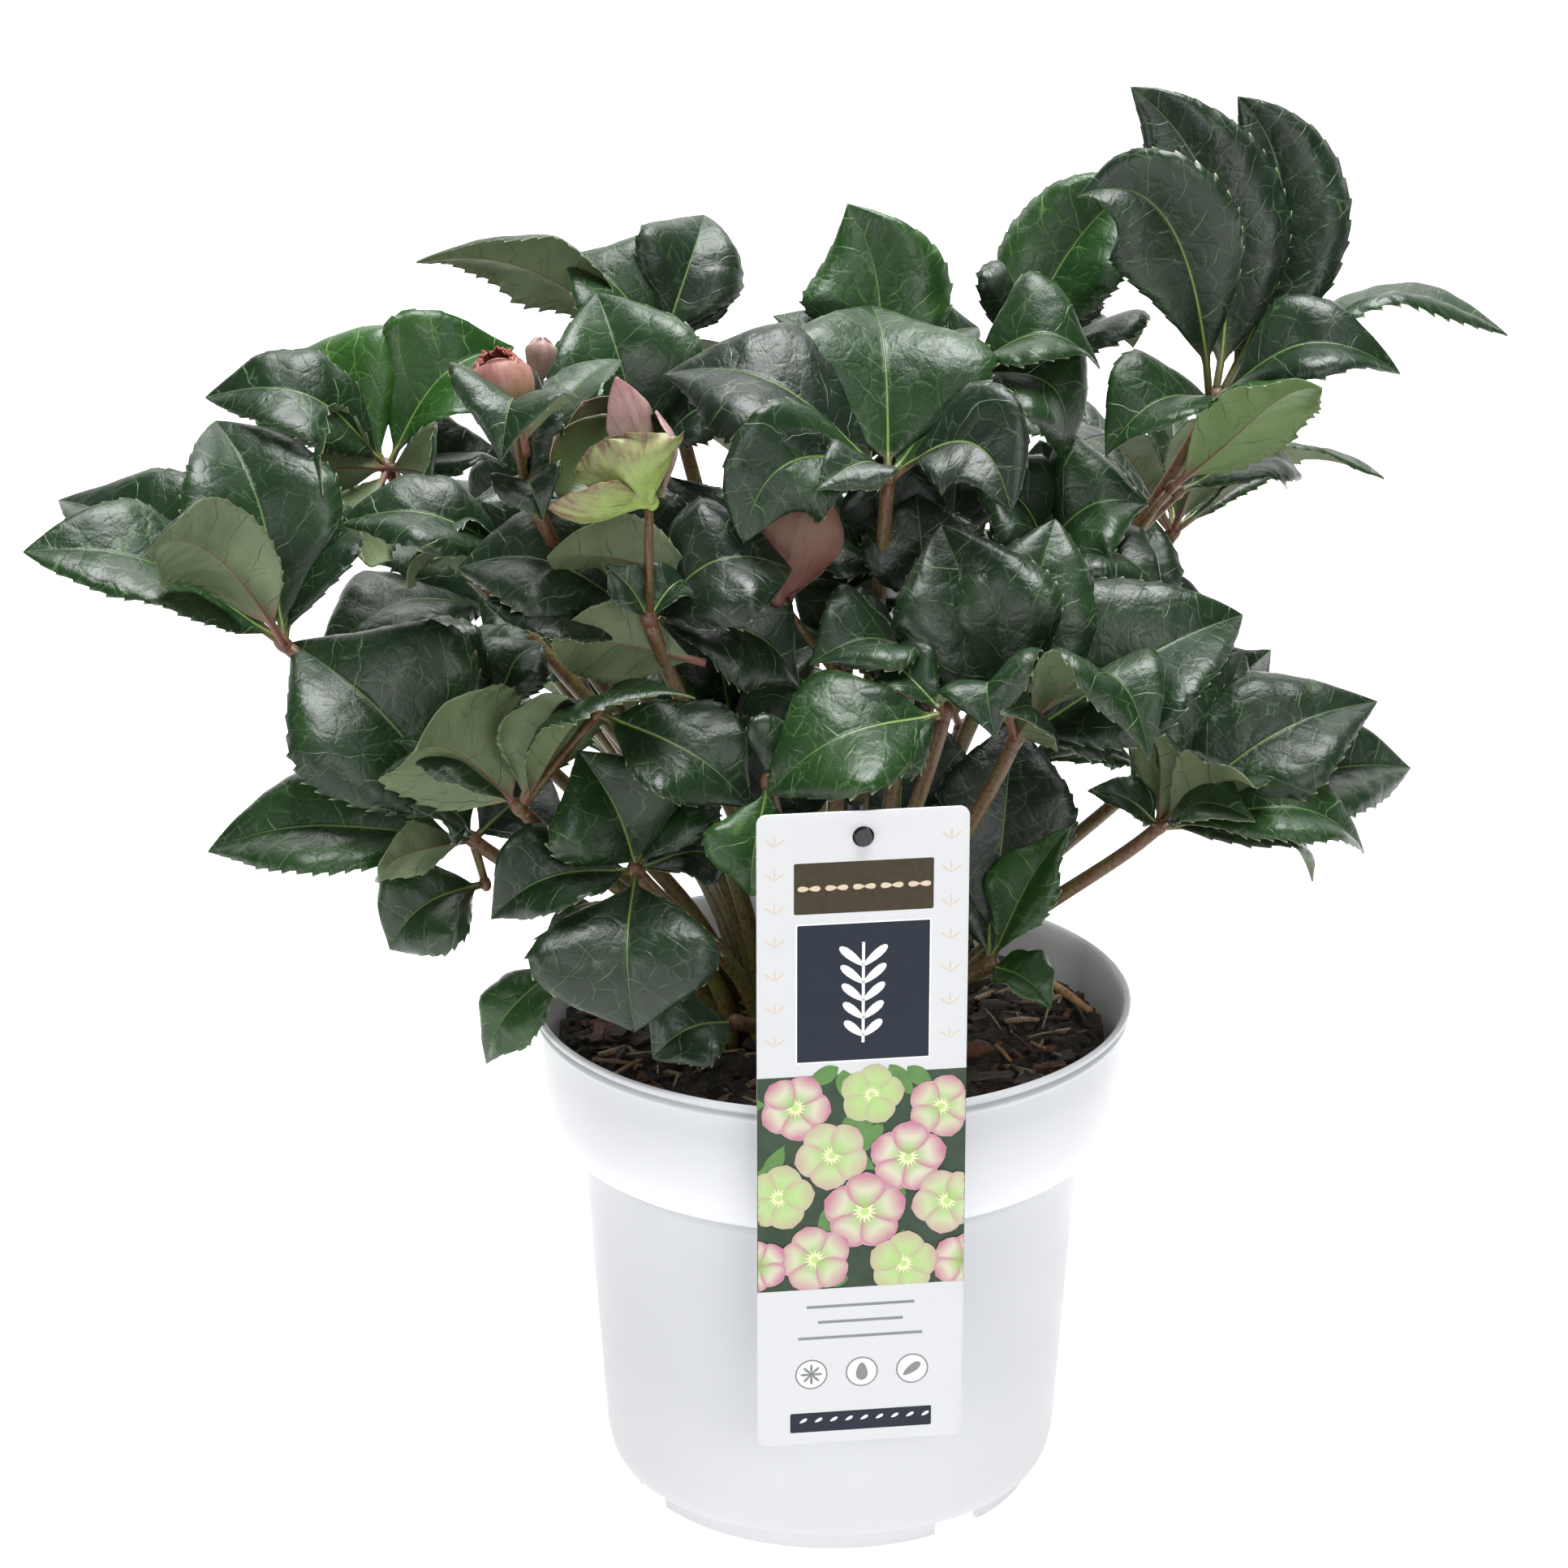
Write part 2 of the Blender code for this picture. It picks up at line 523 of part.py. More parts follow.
def blade_guard(blade, start=0.08):
    """A thicker, plain blade from `start` to past the tip, for finding what this one would touch."""
    inner = [row / blade.rows for row in range(1, blade.rows) if row / blade.rows > start]
    rows = [start] + inner + [1.03]
    points, faces = [], []
    for lift in (-CLEAR / 2, CLEAR / 2):
        for u in rows:
            normal = blade.frame(min(u, 1.0))[1]
            left, right = (blade.edge(min(u, 0.995), sign, blade.tooth + 0.6) for sign in (-1, 1))
            points += [point + normal * lift for point in (left, blade.spine(min(u, 1.0)), right)]
    sheet = 3 * len(rows)
    for offset in (0, sheet):
        for row in range(len(rows) - 1):
            for column in range(2):
                first = offset + 3 * row + column
                faces.append((first, first + 1, first + 4, first + 3))
    for row in range(len(rows) - 1):
        for column in (0, 2):
            first = 3 * row + column
            faces.append((first, first + 3, first + 3 + sheet, first + sheet))
    return BVHTree.FromPolygons(points, faces)


def tube_rings(path, radii, sides):
    """Rings of points round a path, kept from twisting."""
    rings = []
    across = Vector((0, 1, 0))
    for number, point in enumerate(path):
        ahead = path[min(number + 1, len(path) - 1)] - path[max(number - 1, 0)]
        ahead.normalize()
        across = (across - ahead * across.dot(ahead)).normalized()
        up = ahead.cross(across)
        ring = []
        for side in range(sides):
            angle = math.tau * side / sides
            ring.append(point + (across * math.cos(angle) + up * math.sin(angle)) * radii[number])
        rings.append(ring)
    return rings


def tube(name, path, radii, sides=STEM_SIDES, finish=None):
    edit = bmesh.new()
    rings = [[edit.verts.new(point) for point in ring] for ring in tube_rings(path, radii, sides)]
    for low, high in zip(rings, rings[1:]):
        for side in range(sides):
            after = (side + 1) % sides
            edit.faces.new((low[side], low[after], high[after], high[side]))
    edit.faces.new(rings[0])
    edit.faces.new(rings[-1])
    return object_from(name, edit, finish)


def tube_guard(path, radii):
    rings = tube_rings(path, [radius + 0.7 for radius in radii], STEM_SIDES)
    points = [point for ring in rings for point in ring]
    faces = []
    for row in range(len(rings) - 1):
        for side in range(STEM_SIDES):
            after = (side + 1) % STEM_SIDES
            faces.append((row * STEM_SIDES + side, row * STEM_SIDES + after,
                          (row + 1) * STEM_SIDES + after, (row + 1) * STEM_SIDES + side))
    return BVHTree.FromPolygons(points, faces)


def knot_guard(place, radius):
    """A guard round a ball."""
    reach = Vector((0, 0, radius + 0.7))
    return tube_guard([place - reach, place, place + reach], [radius * 0.7, radius * 1.1, radius * 0.7])


def ball(name, place, radius):
    edit = bmesh.new()
    bmesh.ops.create_icosphere(edit, subdivisions=1, radius=radius)
    bmesh.ops.translate(edit, vec=place, verts=edit.verts)
    return object_from(name, edit)


def whorl_axis(fork):
    """The way a whorl of leaflets opens: up, and a little away from the pot's axis."""
    away = Vector((fork.x, fork.y, 0))
    outward = away.normalized() * 0.25 * min(away.length / 100, 1)
    return (Vector((0, -FRONT_LEAN if fork.y < FRONT_LIMIT else 0, 1)) + outward).normalized()


def spread_feet(forks):
    """A place in the soil for each stem, towards its fork and clear of the others."""
    feet = []
    for number, fork in enumerate(forks):
        away = Vector((fork.x, fork.y))
        share = min(max(1.15 - (fork.z - POT_HEIGHT) / 260, 0.45), 1.0)
        feet.append(away.normalized() * (8 + 0.30 * share * min(away.length, 130)))
    for _ in range(200):
        for one in range(len(feet)):
            for other in range(one):
                between = feet[one] - feet[other]
                if between.length < FOOT_SPACING:
                    push = between.normalized() * (FOOT_SPACING - between.length) / 2
                    feet[one] = feet[one] + push
                    feet[other] = feet[other] - push
    return feet


def stem_path(foot, fork, bend=(0, 0)):
    """From under the soil straight up, then out to the fork."""
    start = Vector((foot.x, foot.y, STEM_ROOT_Z))
    level = Vector((foot.x, foot.y, SOIL_Z + 6))
    away = Vector((fork.x - foot.x, fork.y - foot.y, 0))
    rise = fork.z - level.z
    first = level + Vector((bend[0], bend[1], max(rise * 0.38, 8)))
    second = fork - away * 0.30 - Vector((-bend[0] / 2, -bend[1] / 2, rise * 0.30))
    path = [start]
    for step in range(STEM_STEPS + 1):
        t = step / STEM_STEPS
        path.append(level * (1 - t) ** 3 + first * 3 * t * (1 - t) ** 2
                    + second * 3 * t * t * (1 - t) + fork * t ** 3)
    thinner = (STEM_TOP_RADIUS - STEM_FOOT_RADIUS) / STEM_STEPS
    radii = [STEM_FOOT_RADIUS + thinner * row for row in range(STEM_STEPS + 2)]
    return path, radii


def clear_of(guard, taken, owner):
    return not any(name != owner and guard.overlap(other) for name, other in taken)


def pot_guard():
    """The pot's outside and inside walls as one surface."""
    profile = list(reversed(pot_outside())) + list(reversed(pot_inside()))
    angles = [math.tau * side / POT_SIDES for side in range(POT_SIDES)]
    points = [(radius * math.cos(angle), radius * math.sin(angle), height)
              for radius, height in profile for angle in angles]
    faces = []
    for row in range(len(profile) - 1):
        for side in range(POT_SIDES):
            after = (side + 1) % POT_SIDES
            low, high = row * POT_SIDES, (row + 1) * POT_SIDES
            faces.append((low + side, low + after, high + after, high + side))
    return BVHTree.FromPolygons(points, faces)


def tag_guard():
    """The front and back of the tag as two plain rectangles."""
    points = []
    for y in (-TAG_THICKNESS / 2, TAG_THICKNESS / 2):
        for x, z in ((-0.5, 0), (0.5, 0), (0.5, -1), (-0.5, -1)):
            points.append(tag_turned(x * TAG_WIDTH, y, TAG_TOP_Z + z * TAG_HEIGHT))
    return BVHTree.FromPolygons(points, [(0, 1, 2, 3), (4, 5, 6, 7)])


def stake_guard():
    x, y = stake_place()
    ends = [Vector((x, y, SOIL_Z)), Vector((x, y, STAKE_TOP_Z))]
    return tube_guard(ends, [STAKE_RADIUS, STAKE_RADIUS])


def bent_stems(forks, taken):
    """The path of every stem, its middle moved aside where it would touch one that stands already."""
    feet = spread_feet(list(forks.values()))
    bends = [(0, 0)] + [(reach * math.cos(turn), reach * math.sin(turn))
                        for reach in BEND_REACHES for turn in BEND_TURNS]
    paths = {}
    for (name, fork), foot in zip(forks.items(), feet):
        for bend in bends:
            path, radii = stem_path(foot, fork, bend)
            guard = tube_guard(path[2:], radii[2:])
            if clear_of(guard, taken, name):
                break
        else:
            print("stem not clear", name)
        paths[name] = (path, radii)
        taken.append((name, guard))
        taken.append((name, knot_guard(fork, HUB_RADIUS)))
    return paths


def leaflet_choices():
    """How a leaflet may be turned and shortened to clear its neighbours, the least change first."""
    yield 0.0, 0.0, 1.0
    for share in SHARES:
        for turn in TURNS:
            for step in range(8):
                yield turn * math.cos(step * math.pi / 4), turn * math.sin(step * math.pi / 4), share


def placed_blade(name, foot, tip, axis, width, arch, number, taken, own):
    """The leaflet's blade, swung and lifted about its foot until it is clear of all that stands already."""
    wanted = Blade(foot, tip, axis, width, arch, number)
    side = wanted.chord.cross(wanted.face).normalized()
    for swing, lift, share in leaflet_choices():
        chord = wanted.chord.copy()
        chord.rotate(Quaternion(wanted.face, math.radians(swing)))
        chord.rotate(Quaternion(side, math.radians(lift)))
        blade = Blade(foot, foot + chord * share, axis, width * (0.5 + share / 2), arch * share, number)
        guard = blade_guard(blade)
        outer = blade_guard(blade, OWN_START)
        if clear_of(guard, taken, name) and not any(outer.overlap(other) for other in own):
            taken.append((name, guard))
            own.append(outer)
            return blade
    print("leaflet left out", name, number)
    return None


def nearest_on(path, place):
    return min(path, key=lambda point: (point - place).length)


def rear_leaflets(fork, count, length, number):
    """Tips, widths and arches of a whorl that the front doesn't show."""
    draw = random.Random(number)
    axis = whorl_axis(fork)
    first = axis.orthogonal().normalized()
    second = axis.cross(first)
    leaflets = []
    for index in range(count):
        turn = math.tau * (index + draw.uniform(-0.2, 0.2)) / count
        lift = math.radians(draw.uniform(14, 46))
        reach = length * draw.uniform(0.82, 1.1)
        radial = first * math.cos(turn) + second * math.sin(turn)
        tip = fork + (radial * math.cos(lift) + axis * math.sin(lift)) * reach
        leaflets.append((tip, reach * draw.uniform(0.42, 0.52), reach * 0.13))
    return leaflets


def plan_plant():
    """Every stem's path and blades, worked out in one order so that none crosses another."""
    taken = [("pot", pot_guard()), ("tag", tag_guard()), ("tag_stake", stake_guard())]
    forks = {name: seen(*fork) for name, (fork, _) in LEAFY_STEMS.items()}
    forks.update({name: seen(*fork) for name, (fork, _, _) in STALKS.items()})
    forks.update({name: Vector(fork) for name, (fork, _, _) in BACK_STEMS.items()})
    paths = bent_stems(forks, taken)
    blooms = plan_blooms(taken)
    heads = {name: [(forks[name], stalk_end(bloom)) for bloom in STALKS[name][1]] for name in STALKS}
    for name, ends in heads.items():
        for start, end in ends:
            taken.append((name, tube_guard([start, end], [TWIG_RADIUS, TWIG_RADIUS])))
    wanted = []
    for name, (_, leaflets) in LEAFY_STEMS.items():
        wanted += [(name, entry) for entry in leaflets]
    for name, (_, _, leaflets) in STALKS.items():
        wanted += [(name, entry) for entry in leaflets]
    blades = {name: [] for name in forks}
    twigs = {name: [] for name in forks}
    own = {name: [] for name in forks}
    number = 0
    for name, (across, up, back, width, arch, *own_foot) in wanted:
        number += 1
        foot = seen(*own_foot[0]) if own_foot else forks[name]
        blade = placed_blade(name, foot, seen(across, up, back), whorl_axis(forks[name]), width, arch, number,
                             taken, own[name])
        if blade:
            blades[name].append(blade)
            if own_foot:
                twig = (nearest_on(paths[name][0][3:], foot), foot)
                twigs[name].append(twig)
                taken.append((name, tube_guard(twig, [KNOT_RADIUS, KNOT_RADIUS])))
    for name, (_, count, length) in BACK_STEMS.items():
        for tip, width, arch in rear_leaflets(forks[name], count, length, number):
            number += 1
            axis = whorl_axis(forks[name])
            blade = placed_blade(name, forks[name], tip, axis, width, arch, number, taken, own[name])
            if blade:
                blades[name].append(blade)
    return paths, blades, twigs, heads, blooms


def stalk_end(bloom):
    """Where a bloom's stalk ends, just under its heart."""
    heart, way, _ = BLOOMS[bloom]
    return seen(*heart) - Vector(way).normalized() * (HEART_RADIUS + TWIG_RADIUS + GAP)


def plan_blooms(taken):
    """Each bloom's sepals as blades round its heart."""
    blooms = {}
    for name, (heart, way, sepals) in BLOOMS.items():
        middle = seen(*heart)
        axis = Vector(way).normalized()
        first = axis.cross(Vector((0, 1, 0))).normalized()
        second = axis.cross(first)
        blooms[name] = []
        for number, (turn, length, width, opening) in enumerate(sepals):
            radial = first * math.cos(math.radians(turn)) + second * math.sin(math.radians(turn))
            slope = math.radians(opening)
            tip = middle + (axis * math.cos(slope) + radial * math.sin(slope)) * length
            blade = Blade(middle, tip, axis - radial * 1.2 + axis.cross(radial) * SEPAL_ROLL, width,
                          -length * 0.20, number, fullness=0.6, fold=0.30, tooth=0.4, rows=SEPAL_ROWS)
            taken.append((name, blade_guard(blade)))
            blooms[name].append(blade)
        taken.append((name, knot_guard(middle, HEART_RADIUS)))
    return blooms


def make_leafy_stem(name, path, radii, blades, twigs, finish, heads=()):
    """A stem with a knuckle at its fork and its leaflets, joined in one body."""
    stem = tube(name, path, radii, STEM_SIDES, finish)
    pieces = [ball(name + "_fork", path[-1], HUB_RADIUS)]
    for number, blade in enumerate(blades):
        pieces.append(object_from(f"{name}_blade_{number}", blade_mesh(blade)))
    for number, (start, end) in enumerate(list(twigs) + list(heads)):
        pieces.append(tube(f"{name}_twig_{number}", [start, (start + end) / 2, end],
                           [TWIG_FOOT_RADIUS, TWIG_RADIUS, TWIG_RADIUS]))
        if number < len(twigs):
            pieces.append(ball(f"{name}_knot_{number}", end, KNOT_RADIUS))
    boolean(stem, pieces, "UNION", "MANIFOLD")
    return stem


def make_bloom(name, blades, finish):
    heart = ball(name, blades[0].foot, HEART_RADIUS)
    heart.data.materials.append(finish)
    pieces = [object_from(f"{name}_sepal_{number}", blade_mesh(blade)) for number, blade in enumerate(blades)]
    boolean(heart, pieces, "UNION", "MANIFOLD")
    return heart


def stem_holes(paths):
    """A square hole in the soil for each stem and a round one for the stake."""
    holes = []
    for name, (path, _) in paths.items():
        straight = [path[0] - Vector((0, 0, GAP)), path[1] + Vector((0, 0, 3))]
        holes.append(tube(name + "_hole", straight, [(STEM_FOOT_RADIUS + GAP) * math.sqrt(2)] * 2, 4))
    x, y = stake_place()
    holes.append(cylinder("stake_hole", STAKE_RADIUS + GAP, SOIL_Z - HOLE_DEPTH, SOIL_Z + 12, (x, y), 12))
    return holes


def main():
    for existing in list(bpy.data.objects):
        bpy.data.objects.remove(existing)
    make_pot()
    make_tag()
    make_stake()
    paths, blades, twigs, heads, blooms = plan_plant()
    make_soil(stem_holes(paths))
    leaf_green = material("leaf_green", (0.035, 0.085, 0.045), 0.3)
    for name, (path, radii) in paths.items():
        make_leafy_stem(name, path, radii, blades[name], twigs[name], leaf_green, heads.get(name, []))
    for name, sepals in blooms.items():
        make_bloom(name, sepals, material(name + "_sepal", SEPAL_COLORS[name], 0.5))


main()
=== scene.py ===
# %% [markdown]
# A potted hellebore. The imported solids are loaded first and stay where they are. Every piece made here
# is fitted to them, in the same frame: metres, +Z up, the front of the plant facing -Y.

# %% Load the fixed frame
import json
import math
import random

import bmesh
import bpy
import numpy as np
from mathutils import Matrix, Quaternion, Vector, noise

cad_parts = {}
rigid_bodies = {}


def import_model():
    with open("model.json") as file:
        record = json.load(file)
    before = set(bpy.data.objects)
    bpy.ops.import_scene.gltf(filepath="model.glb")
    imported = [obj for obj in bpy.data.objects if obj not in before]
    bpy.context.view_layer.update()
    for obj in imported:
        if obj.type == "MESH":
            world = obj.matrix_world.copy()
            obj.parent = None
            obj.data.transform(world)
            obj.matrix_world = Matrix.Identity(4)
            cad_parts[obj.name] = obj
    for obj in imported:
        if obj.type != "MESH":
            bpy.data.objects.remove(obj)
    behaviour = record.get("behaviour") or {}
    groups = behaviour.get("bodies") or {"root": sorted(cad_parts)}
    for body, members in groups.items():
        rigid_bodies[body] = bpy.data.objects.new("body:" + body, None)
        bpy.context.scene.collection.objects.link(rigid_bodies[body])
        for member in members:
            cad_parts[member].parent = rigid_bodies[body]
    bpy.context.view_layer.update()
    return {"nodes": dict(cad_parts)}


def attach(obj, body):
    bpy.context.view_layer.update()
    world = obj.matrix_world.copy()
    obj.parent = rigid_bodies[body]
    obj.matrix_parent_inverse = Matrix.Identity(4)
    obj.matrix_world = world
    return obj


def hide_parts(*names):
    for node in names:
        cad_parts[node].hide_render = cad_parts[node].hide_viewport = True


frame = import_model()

# %% [markdown]
# Plants are drawn from sight: each stem's fork and each leaflet's tip is given as it is seen from the
# front, as a distance across and up from the middle of the pot's rim, and how far back it lies. The
# tables are in millimetres, as the solids were drawn, so that a leaf made here lies in its solid.

# %% The plant's measures
MM = 0.001
GAP = 0.3
POT_HEIGHT = 164.0
SHOULDER_Z, SHOULDER_RADIUS = 116.0, 78.0
BODY_TAPER, BODY_FOOT_Z = 0.075, 14.0
FLOOR_Z, FLOOR_THICKNESS = 6.0, 2.2
FOOT_RADIUS, FOOT_WIDTH, PAD_RADIUS, POT_SIDES = 66.0, 3.0, 14.0, 128
DRAIN_RADIUS, DRAIN_CIRCLE, DRAIN_COUNT = 6.0, 44.0, 6
NOTCH_WIDTH, NOTCH_ANGLES = 18.0, (-52, -152, 38, 128)
SOIL_Z, SOIL_BUMP, SOIL_EDGE, SOIL_REACH, HOLE_DEPTH = 150.0, 1.6, 88.2, 86.0, 16.0
TAG_WIDTH, TAG_HEIGHT, TAG_THICKNESS = 63.0, 205.0, 0.8
TAG_CORNER, TAG_HOLE_RADIUS, TAG_HOLE_DROP = 3.0, 3.2, 8.0
TAG_YAW, TAG_PLACE, TAG_TOP_Z = 8.0, (8.0, -98.5), 261.0
VIEW_DISTANCE, VIEW_PITCH = 1500.0, math.radians(19.8)
VIEW_ASIDE, VIEW_ABOVE = 15.1, 65.6
SENSOR_WIDTH, LENS = 36.0, 108.4
FOOT_SHARE, LONG_LEAFLET, VEIN_PITCH, PLAIN_BREADTH = 0.14, 62, 11.0, 1.06
FRONT_LEAN, FRONT_LIMIT = 0.55, 90.0
STEM_ROOT_Z = SOIL_Z - HOLE_DEPTH + GAP
STEM_FOOT_RADIUS, STEM_TOP_RADIUS, STEM_STEPS, FINE_STEPS, STOUTER = 2.3, 1.8, 4, 22, 1.25
HUB_RADIUS, KNOT_RADIUS, FOOT_SPACING = 3.0, 1.9, 9.0
TURNS, SHARES, EIGHTH = (7, 14, 21, 28, 36), (1.0, 0.86, 0.72), math.pi / 4

# %% The leafy stems, blooms and stalks
# Each leafy stem: its fork as (across, up, back), and its leaflets as (across, up, back, width, arch) of
# the tip, with the place of its own foot where it leaves a twig. Across and up are as seen from the
# front, from the middle of the rim; back is along +Y from the pot's axis.
LEAFY_STEMS = {
    "right_centre": ((58, 79, -42), [
        (35, 148, -22, 48, 8), (74, 151, -28, 47, 8), (132, 122, -34, 54, 12), (100, 73, -68, 33, 12),
        (44, 80, -72, 32, 6), (80, 89, -74, 28, 6), (98, 82, -30, 26, 6)]),
    "centre": ((18, 163, -14), [
        (-55, 200, 0, 50, 16), (9, 226, 22, 61, 7), (57, 153, -36, 50, 26), (-27, 140, -38, 47, 24),
        (44, 196, 8, 28, 8), (-8, 152, -44, 21, 8)]),
    "left_low": ((-114, 48, -30), [
        (-174, 114, -12, 62, 9), (-201, 48, -28, 37, 8), (-149, 35, -66, 26, 5), (-129, 67, -38, 22, 5),
        (-142, 17, -42, 32, 9, (-110, 34, -26))]),
    "left_centre": ((-99, 58, -48), [
        (-134, 78, -72, 47, 9), (-45, 102, -66, 38, 10), (-140, 83, -42, 20, 7),
        (-21, 62, -48, 37, 9, (-74, 88, -46)), (-84, 92, -76, 28, 6)]),
    "low_front": ((-62, 38, -52), [
        (-84, 77, -38, 45, 6), (-45, 75, -36, 40, 6), (-109, 54, -58, 33, 8), (-62, -17, -84, 54, 15),
        (-30, 40, -40, 26, 6)]),
    "right_low": ((104, 52, -26), [
        (175, 94, -6, 42, 10), (187, 74, 10, 32, 8), (177, 51, -32, 38, 14), (160, 41, -12, 28, 8),
        (135, 66, -58, 28, 8), (107, 85, -34, 24, 4), (133, 111, 2, 38, 6), (96, 78, -44, 20, 5),
        (131, 75, -38, 24, 5)]),
    "far_left": ((-174, 110, -8), [
        (-193, 186, 16, 61, 8), (-255, 146, -34, 42, 12), (-248, 163, 24, 42, 10), (-218, 137, -60, 33, 6),
        (-155, 131, -44, 33, 6), (-150, 157, 4, 42, 8)]),
    "top_right": ((122, 188, 30), [
        (96, 286, 50, 52, 9), (77, 252, 16, 52, 17), (144, 282, 62, 54, 9), (182, 195, 8, 38, 12),
        (217, 215, 40, 42, 12), (162, 197, -6, 35, 4, (108, 160, 22)), (84, 174, 0, 32, 10),
        (153, 170, 44, 28, 7, (110, 158, 30))]),
    "upper_left": ((-141, 166, 40), [
        (-200, 190, 30, 39, 13), (-177, 207, 58, 52, 7), (-105, 214, 58, 42, 7), (-169, 159, 2, 40, 7),
        (-124, 172, 8, 30, 7), (-157, 160, -4, 26, 4), (-102, 168, 52, 31, 5)]),
    "middle_left": ((-58, 117, -34), [
        (-121, 139, -36, 42, 11), (-10, 137, -38, 40, 12), (-91, 109, -66, 40, 7), (-6, 93, -42, 35, 8),
        (-64, 92, -66, 31, 7), (-76, 146, -14, 31, 6)]),
    "inner_left": ((-99, 137, -6), [
        (-157, 150, -12, 33, 12), (-136, 130, -24, 31, 8), (-96, 131, -46, 21, 8), (-95, 166, 8, 26, 4),
        (-68, 142, 16, 31, 6)]),
    "front_bright": ((36, 88, -58), [
        (-23, 63, -76, 47, 13), (30, 122, -56, 35, 5), (10, 62, -84, 31, 8)]),
    "centre_back": ((12, 190, 46), [
        (7, 250, 60, 54, 6), (-18, 217, 54, 26, 5), (48, 214, 62, 38, 6), (34, 176, 8, 31, 7),
        (-22, 184, 62, 33, 6)]),
    "inner_right": ((42, 196, 24), [
        (89, 204, 16, 33, 10), (82, 170, 6, 38, 14), (84, 182, 30, 31, 6), (56, 180, -10, 31, 6)]),
    "tall_right": ((60, 199, 48), [
        (99, 262, 62, 55, 10), (64, 236, 66, 38, 6), (97, 214, 84, 40, 6)]),
    "behind_left": ((-57, 168, 48), [
        (-74, 225, 58, 47, 7), (-22, 186, 44, 33, 9), (-92, 190, 68, 35, 7), (-38, 208, 88, 40, 7)]),
    "back_left": ((-54, 204, 88), [
        (-132, 239, 80, 37, 7), (-84, 236, 98, 40, 6), (-39, 249, 112, 47, 6), (-22, 222, 120, 40, 6)]),
    "middle_right": ((68, 141, 8), [
        (46, 164, 4, 35, 6), (100, 160, 6, 40, 6), (101, 148, -20, 31, 6), (94, 126, 26, 35, 8)]),
    "middle_front": ((26, 108, -24), [
        (-24, 112, -26, 33, 8), (-10, 126, -10, 35, 6), (12, 132, -8, 28, 6), (30, 92, -66, 21, 5)]),
    "left_shade": ((-106, 88, 2), [
        (-146, 111, -2, 35, 8), (-98, 116, 10, 28, 6), (-171, 86, -34, 38, 8), (-120, 120, 24, 35, 6)]),
    "rim_left": ((-78, 14, -30), [
        (-113, -21, -36, 32, 6), (-92, 28, -16, 24, 5)]),
    "low_right": ((50, 8, -24), [
        (74, 52, -18, 31, 4), (71, -5, -40, 21, 5), (68, 58, 6, 33, 5), (84, 46, 18, 31, 6)]),
    "front_hanging": ((-20, 66, -66), [
        (-27, 27, -78, 28, 5), (-8, 84, -58, 24, 5)]),
    "soil_leaf": ((-30, -10, -56), [
        (-58, -21, -70, 28, 6)]),
    "core_left": ((-32, 84, 6), [
        (-70, 116, 4, 38, 8), (-2, 118, 2, 38, 8), (-40, 70, -24, 34, 8), (8, 88, -6, 32, 7)]),
    "core_right": ((16, 132, 30), [
        (-20, 150, 24, 38, 8), (44, 160, 28, 36, 8), (-8, 110, 4, 34, 8), (40, 118, 6, 34, 8)]),
    "shade_right": ((78, 112, 50), [
        (44, 148, 62, 36, 8), (104, 152, 72, 38, 8), (128, 120, 56, 34, 7), (56, 122, 30, 30, 6)]),
    "shade_left": ((-80, 98, 54), [
        (-116, 132, 58, 36, 8), (-62, 142, 62, 38, 8), (-44, 112, 44, 32, 6), (-112, 100, 40, 32, 6)]),
}

# Stems behind, which the front doesn't show: the fork as (x, y, z), the leaflets' count and their length
BACK_STEMS = {
    "rear_left": ((-104, 86, 262), 6, 80),
    "rear_low_left": ((-70, 96, 206), 5, 68),
    "rear_centre": ((-8, 128, 282), 6, 84),
    "rear_low_right": ((44, 104, 216), 5, 70),
    "rear_right": ((112, 92, 288), 6, 82),
    "rear_side_right": ((104, 66, 214), 5, 62),
}

# Flower stalks: the fork, the leafy bracts as for a leafy stem, and the blooms it carries
STALKS = {
    "bloom_stalk": ((-58, 118, -52), [(-44, 132, -36, 15, 3), (-72, 136, -60, 13, 3)], ["open_bloom"]),
    "bud_stalk": ((-97, 160, -40), [
        (-124, 188, -64, 26, 4), (-84, 198, -60, 25, 4), (-69, 207, -8, 27, 6), (-95, 141, -60, 22, 9)],
        ["large_bud", "small_bud"]),
    "shaded_stalk": ((2, 100, -22), [], ["shaded_bloom"]),
}
# The way each bloom opens
BLOOM_WAYS = {"open_bloom": (-0.1, -0.35, 0.93), "large_bud": (-0.1, -0.2, 1.0),
              "small_bud": (0.15, -0.1, 1.0), "shaded_bloom": (-0.1, -0.3, 0.9)}
print("leafy stems:", len(LEAFY_STEMS) + len(BACK_STEMS), "blooms:", len(BLOOM_WAYS), "stalks:", len(STALKS))

# %% [markdown]
# A leaflet of a hellebore is an arched midrib with a blade folded and waved on either side. The class
# below holds where the midrib runs and which way the blade faces. The same formula made the solids, and
# here it is what the finely modelled leaflet hangs on.

# %% A point as it is seen, and the run of one blade
view_forward = Vector((0, math.cos(VIEW_PITCH), -math.sin(VIEW_PITCH)))
view_up = Vector((0, math.sin(VIEW_PITCH), math.cos(VIEW_PITCH)))
rim_middle = Vector((0, 0, POT_HEIGHT))
view_eye = rim_middle - view_forward * VIEW_DISTANCE + Vector((-VIEW_ASIDE, 0, 0)) + view_up * VIEW_ABOVE


def sight(across, up):
    """The line of sight through the point (across, up) of the plane through the rim's middle."""
    return view_forward * VIEW_DISTANCE + Vector((across + VIEW_ASIDE, 0, 0)) + view_up * (up - VIEW_ABOVE)


def seen(across, up, back):
    """The point seen at (across, up), at y = `back`."""
    ray = sight(across, up)
    return view_eye + ray * ((back - view_eye.y) / ray.y)


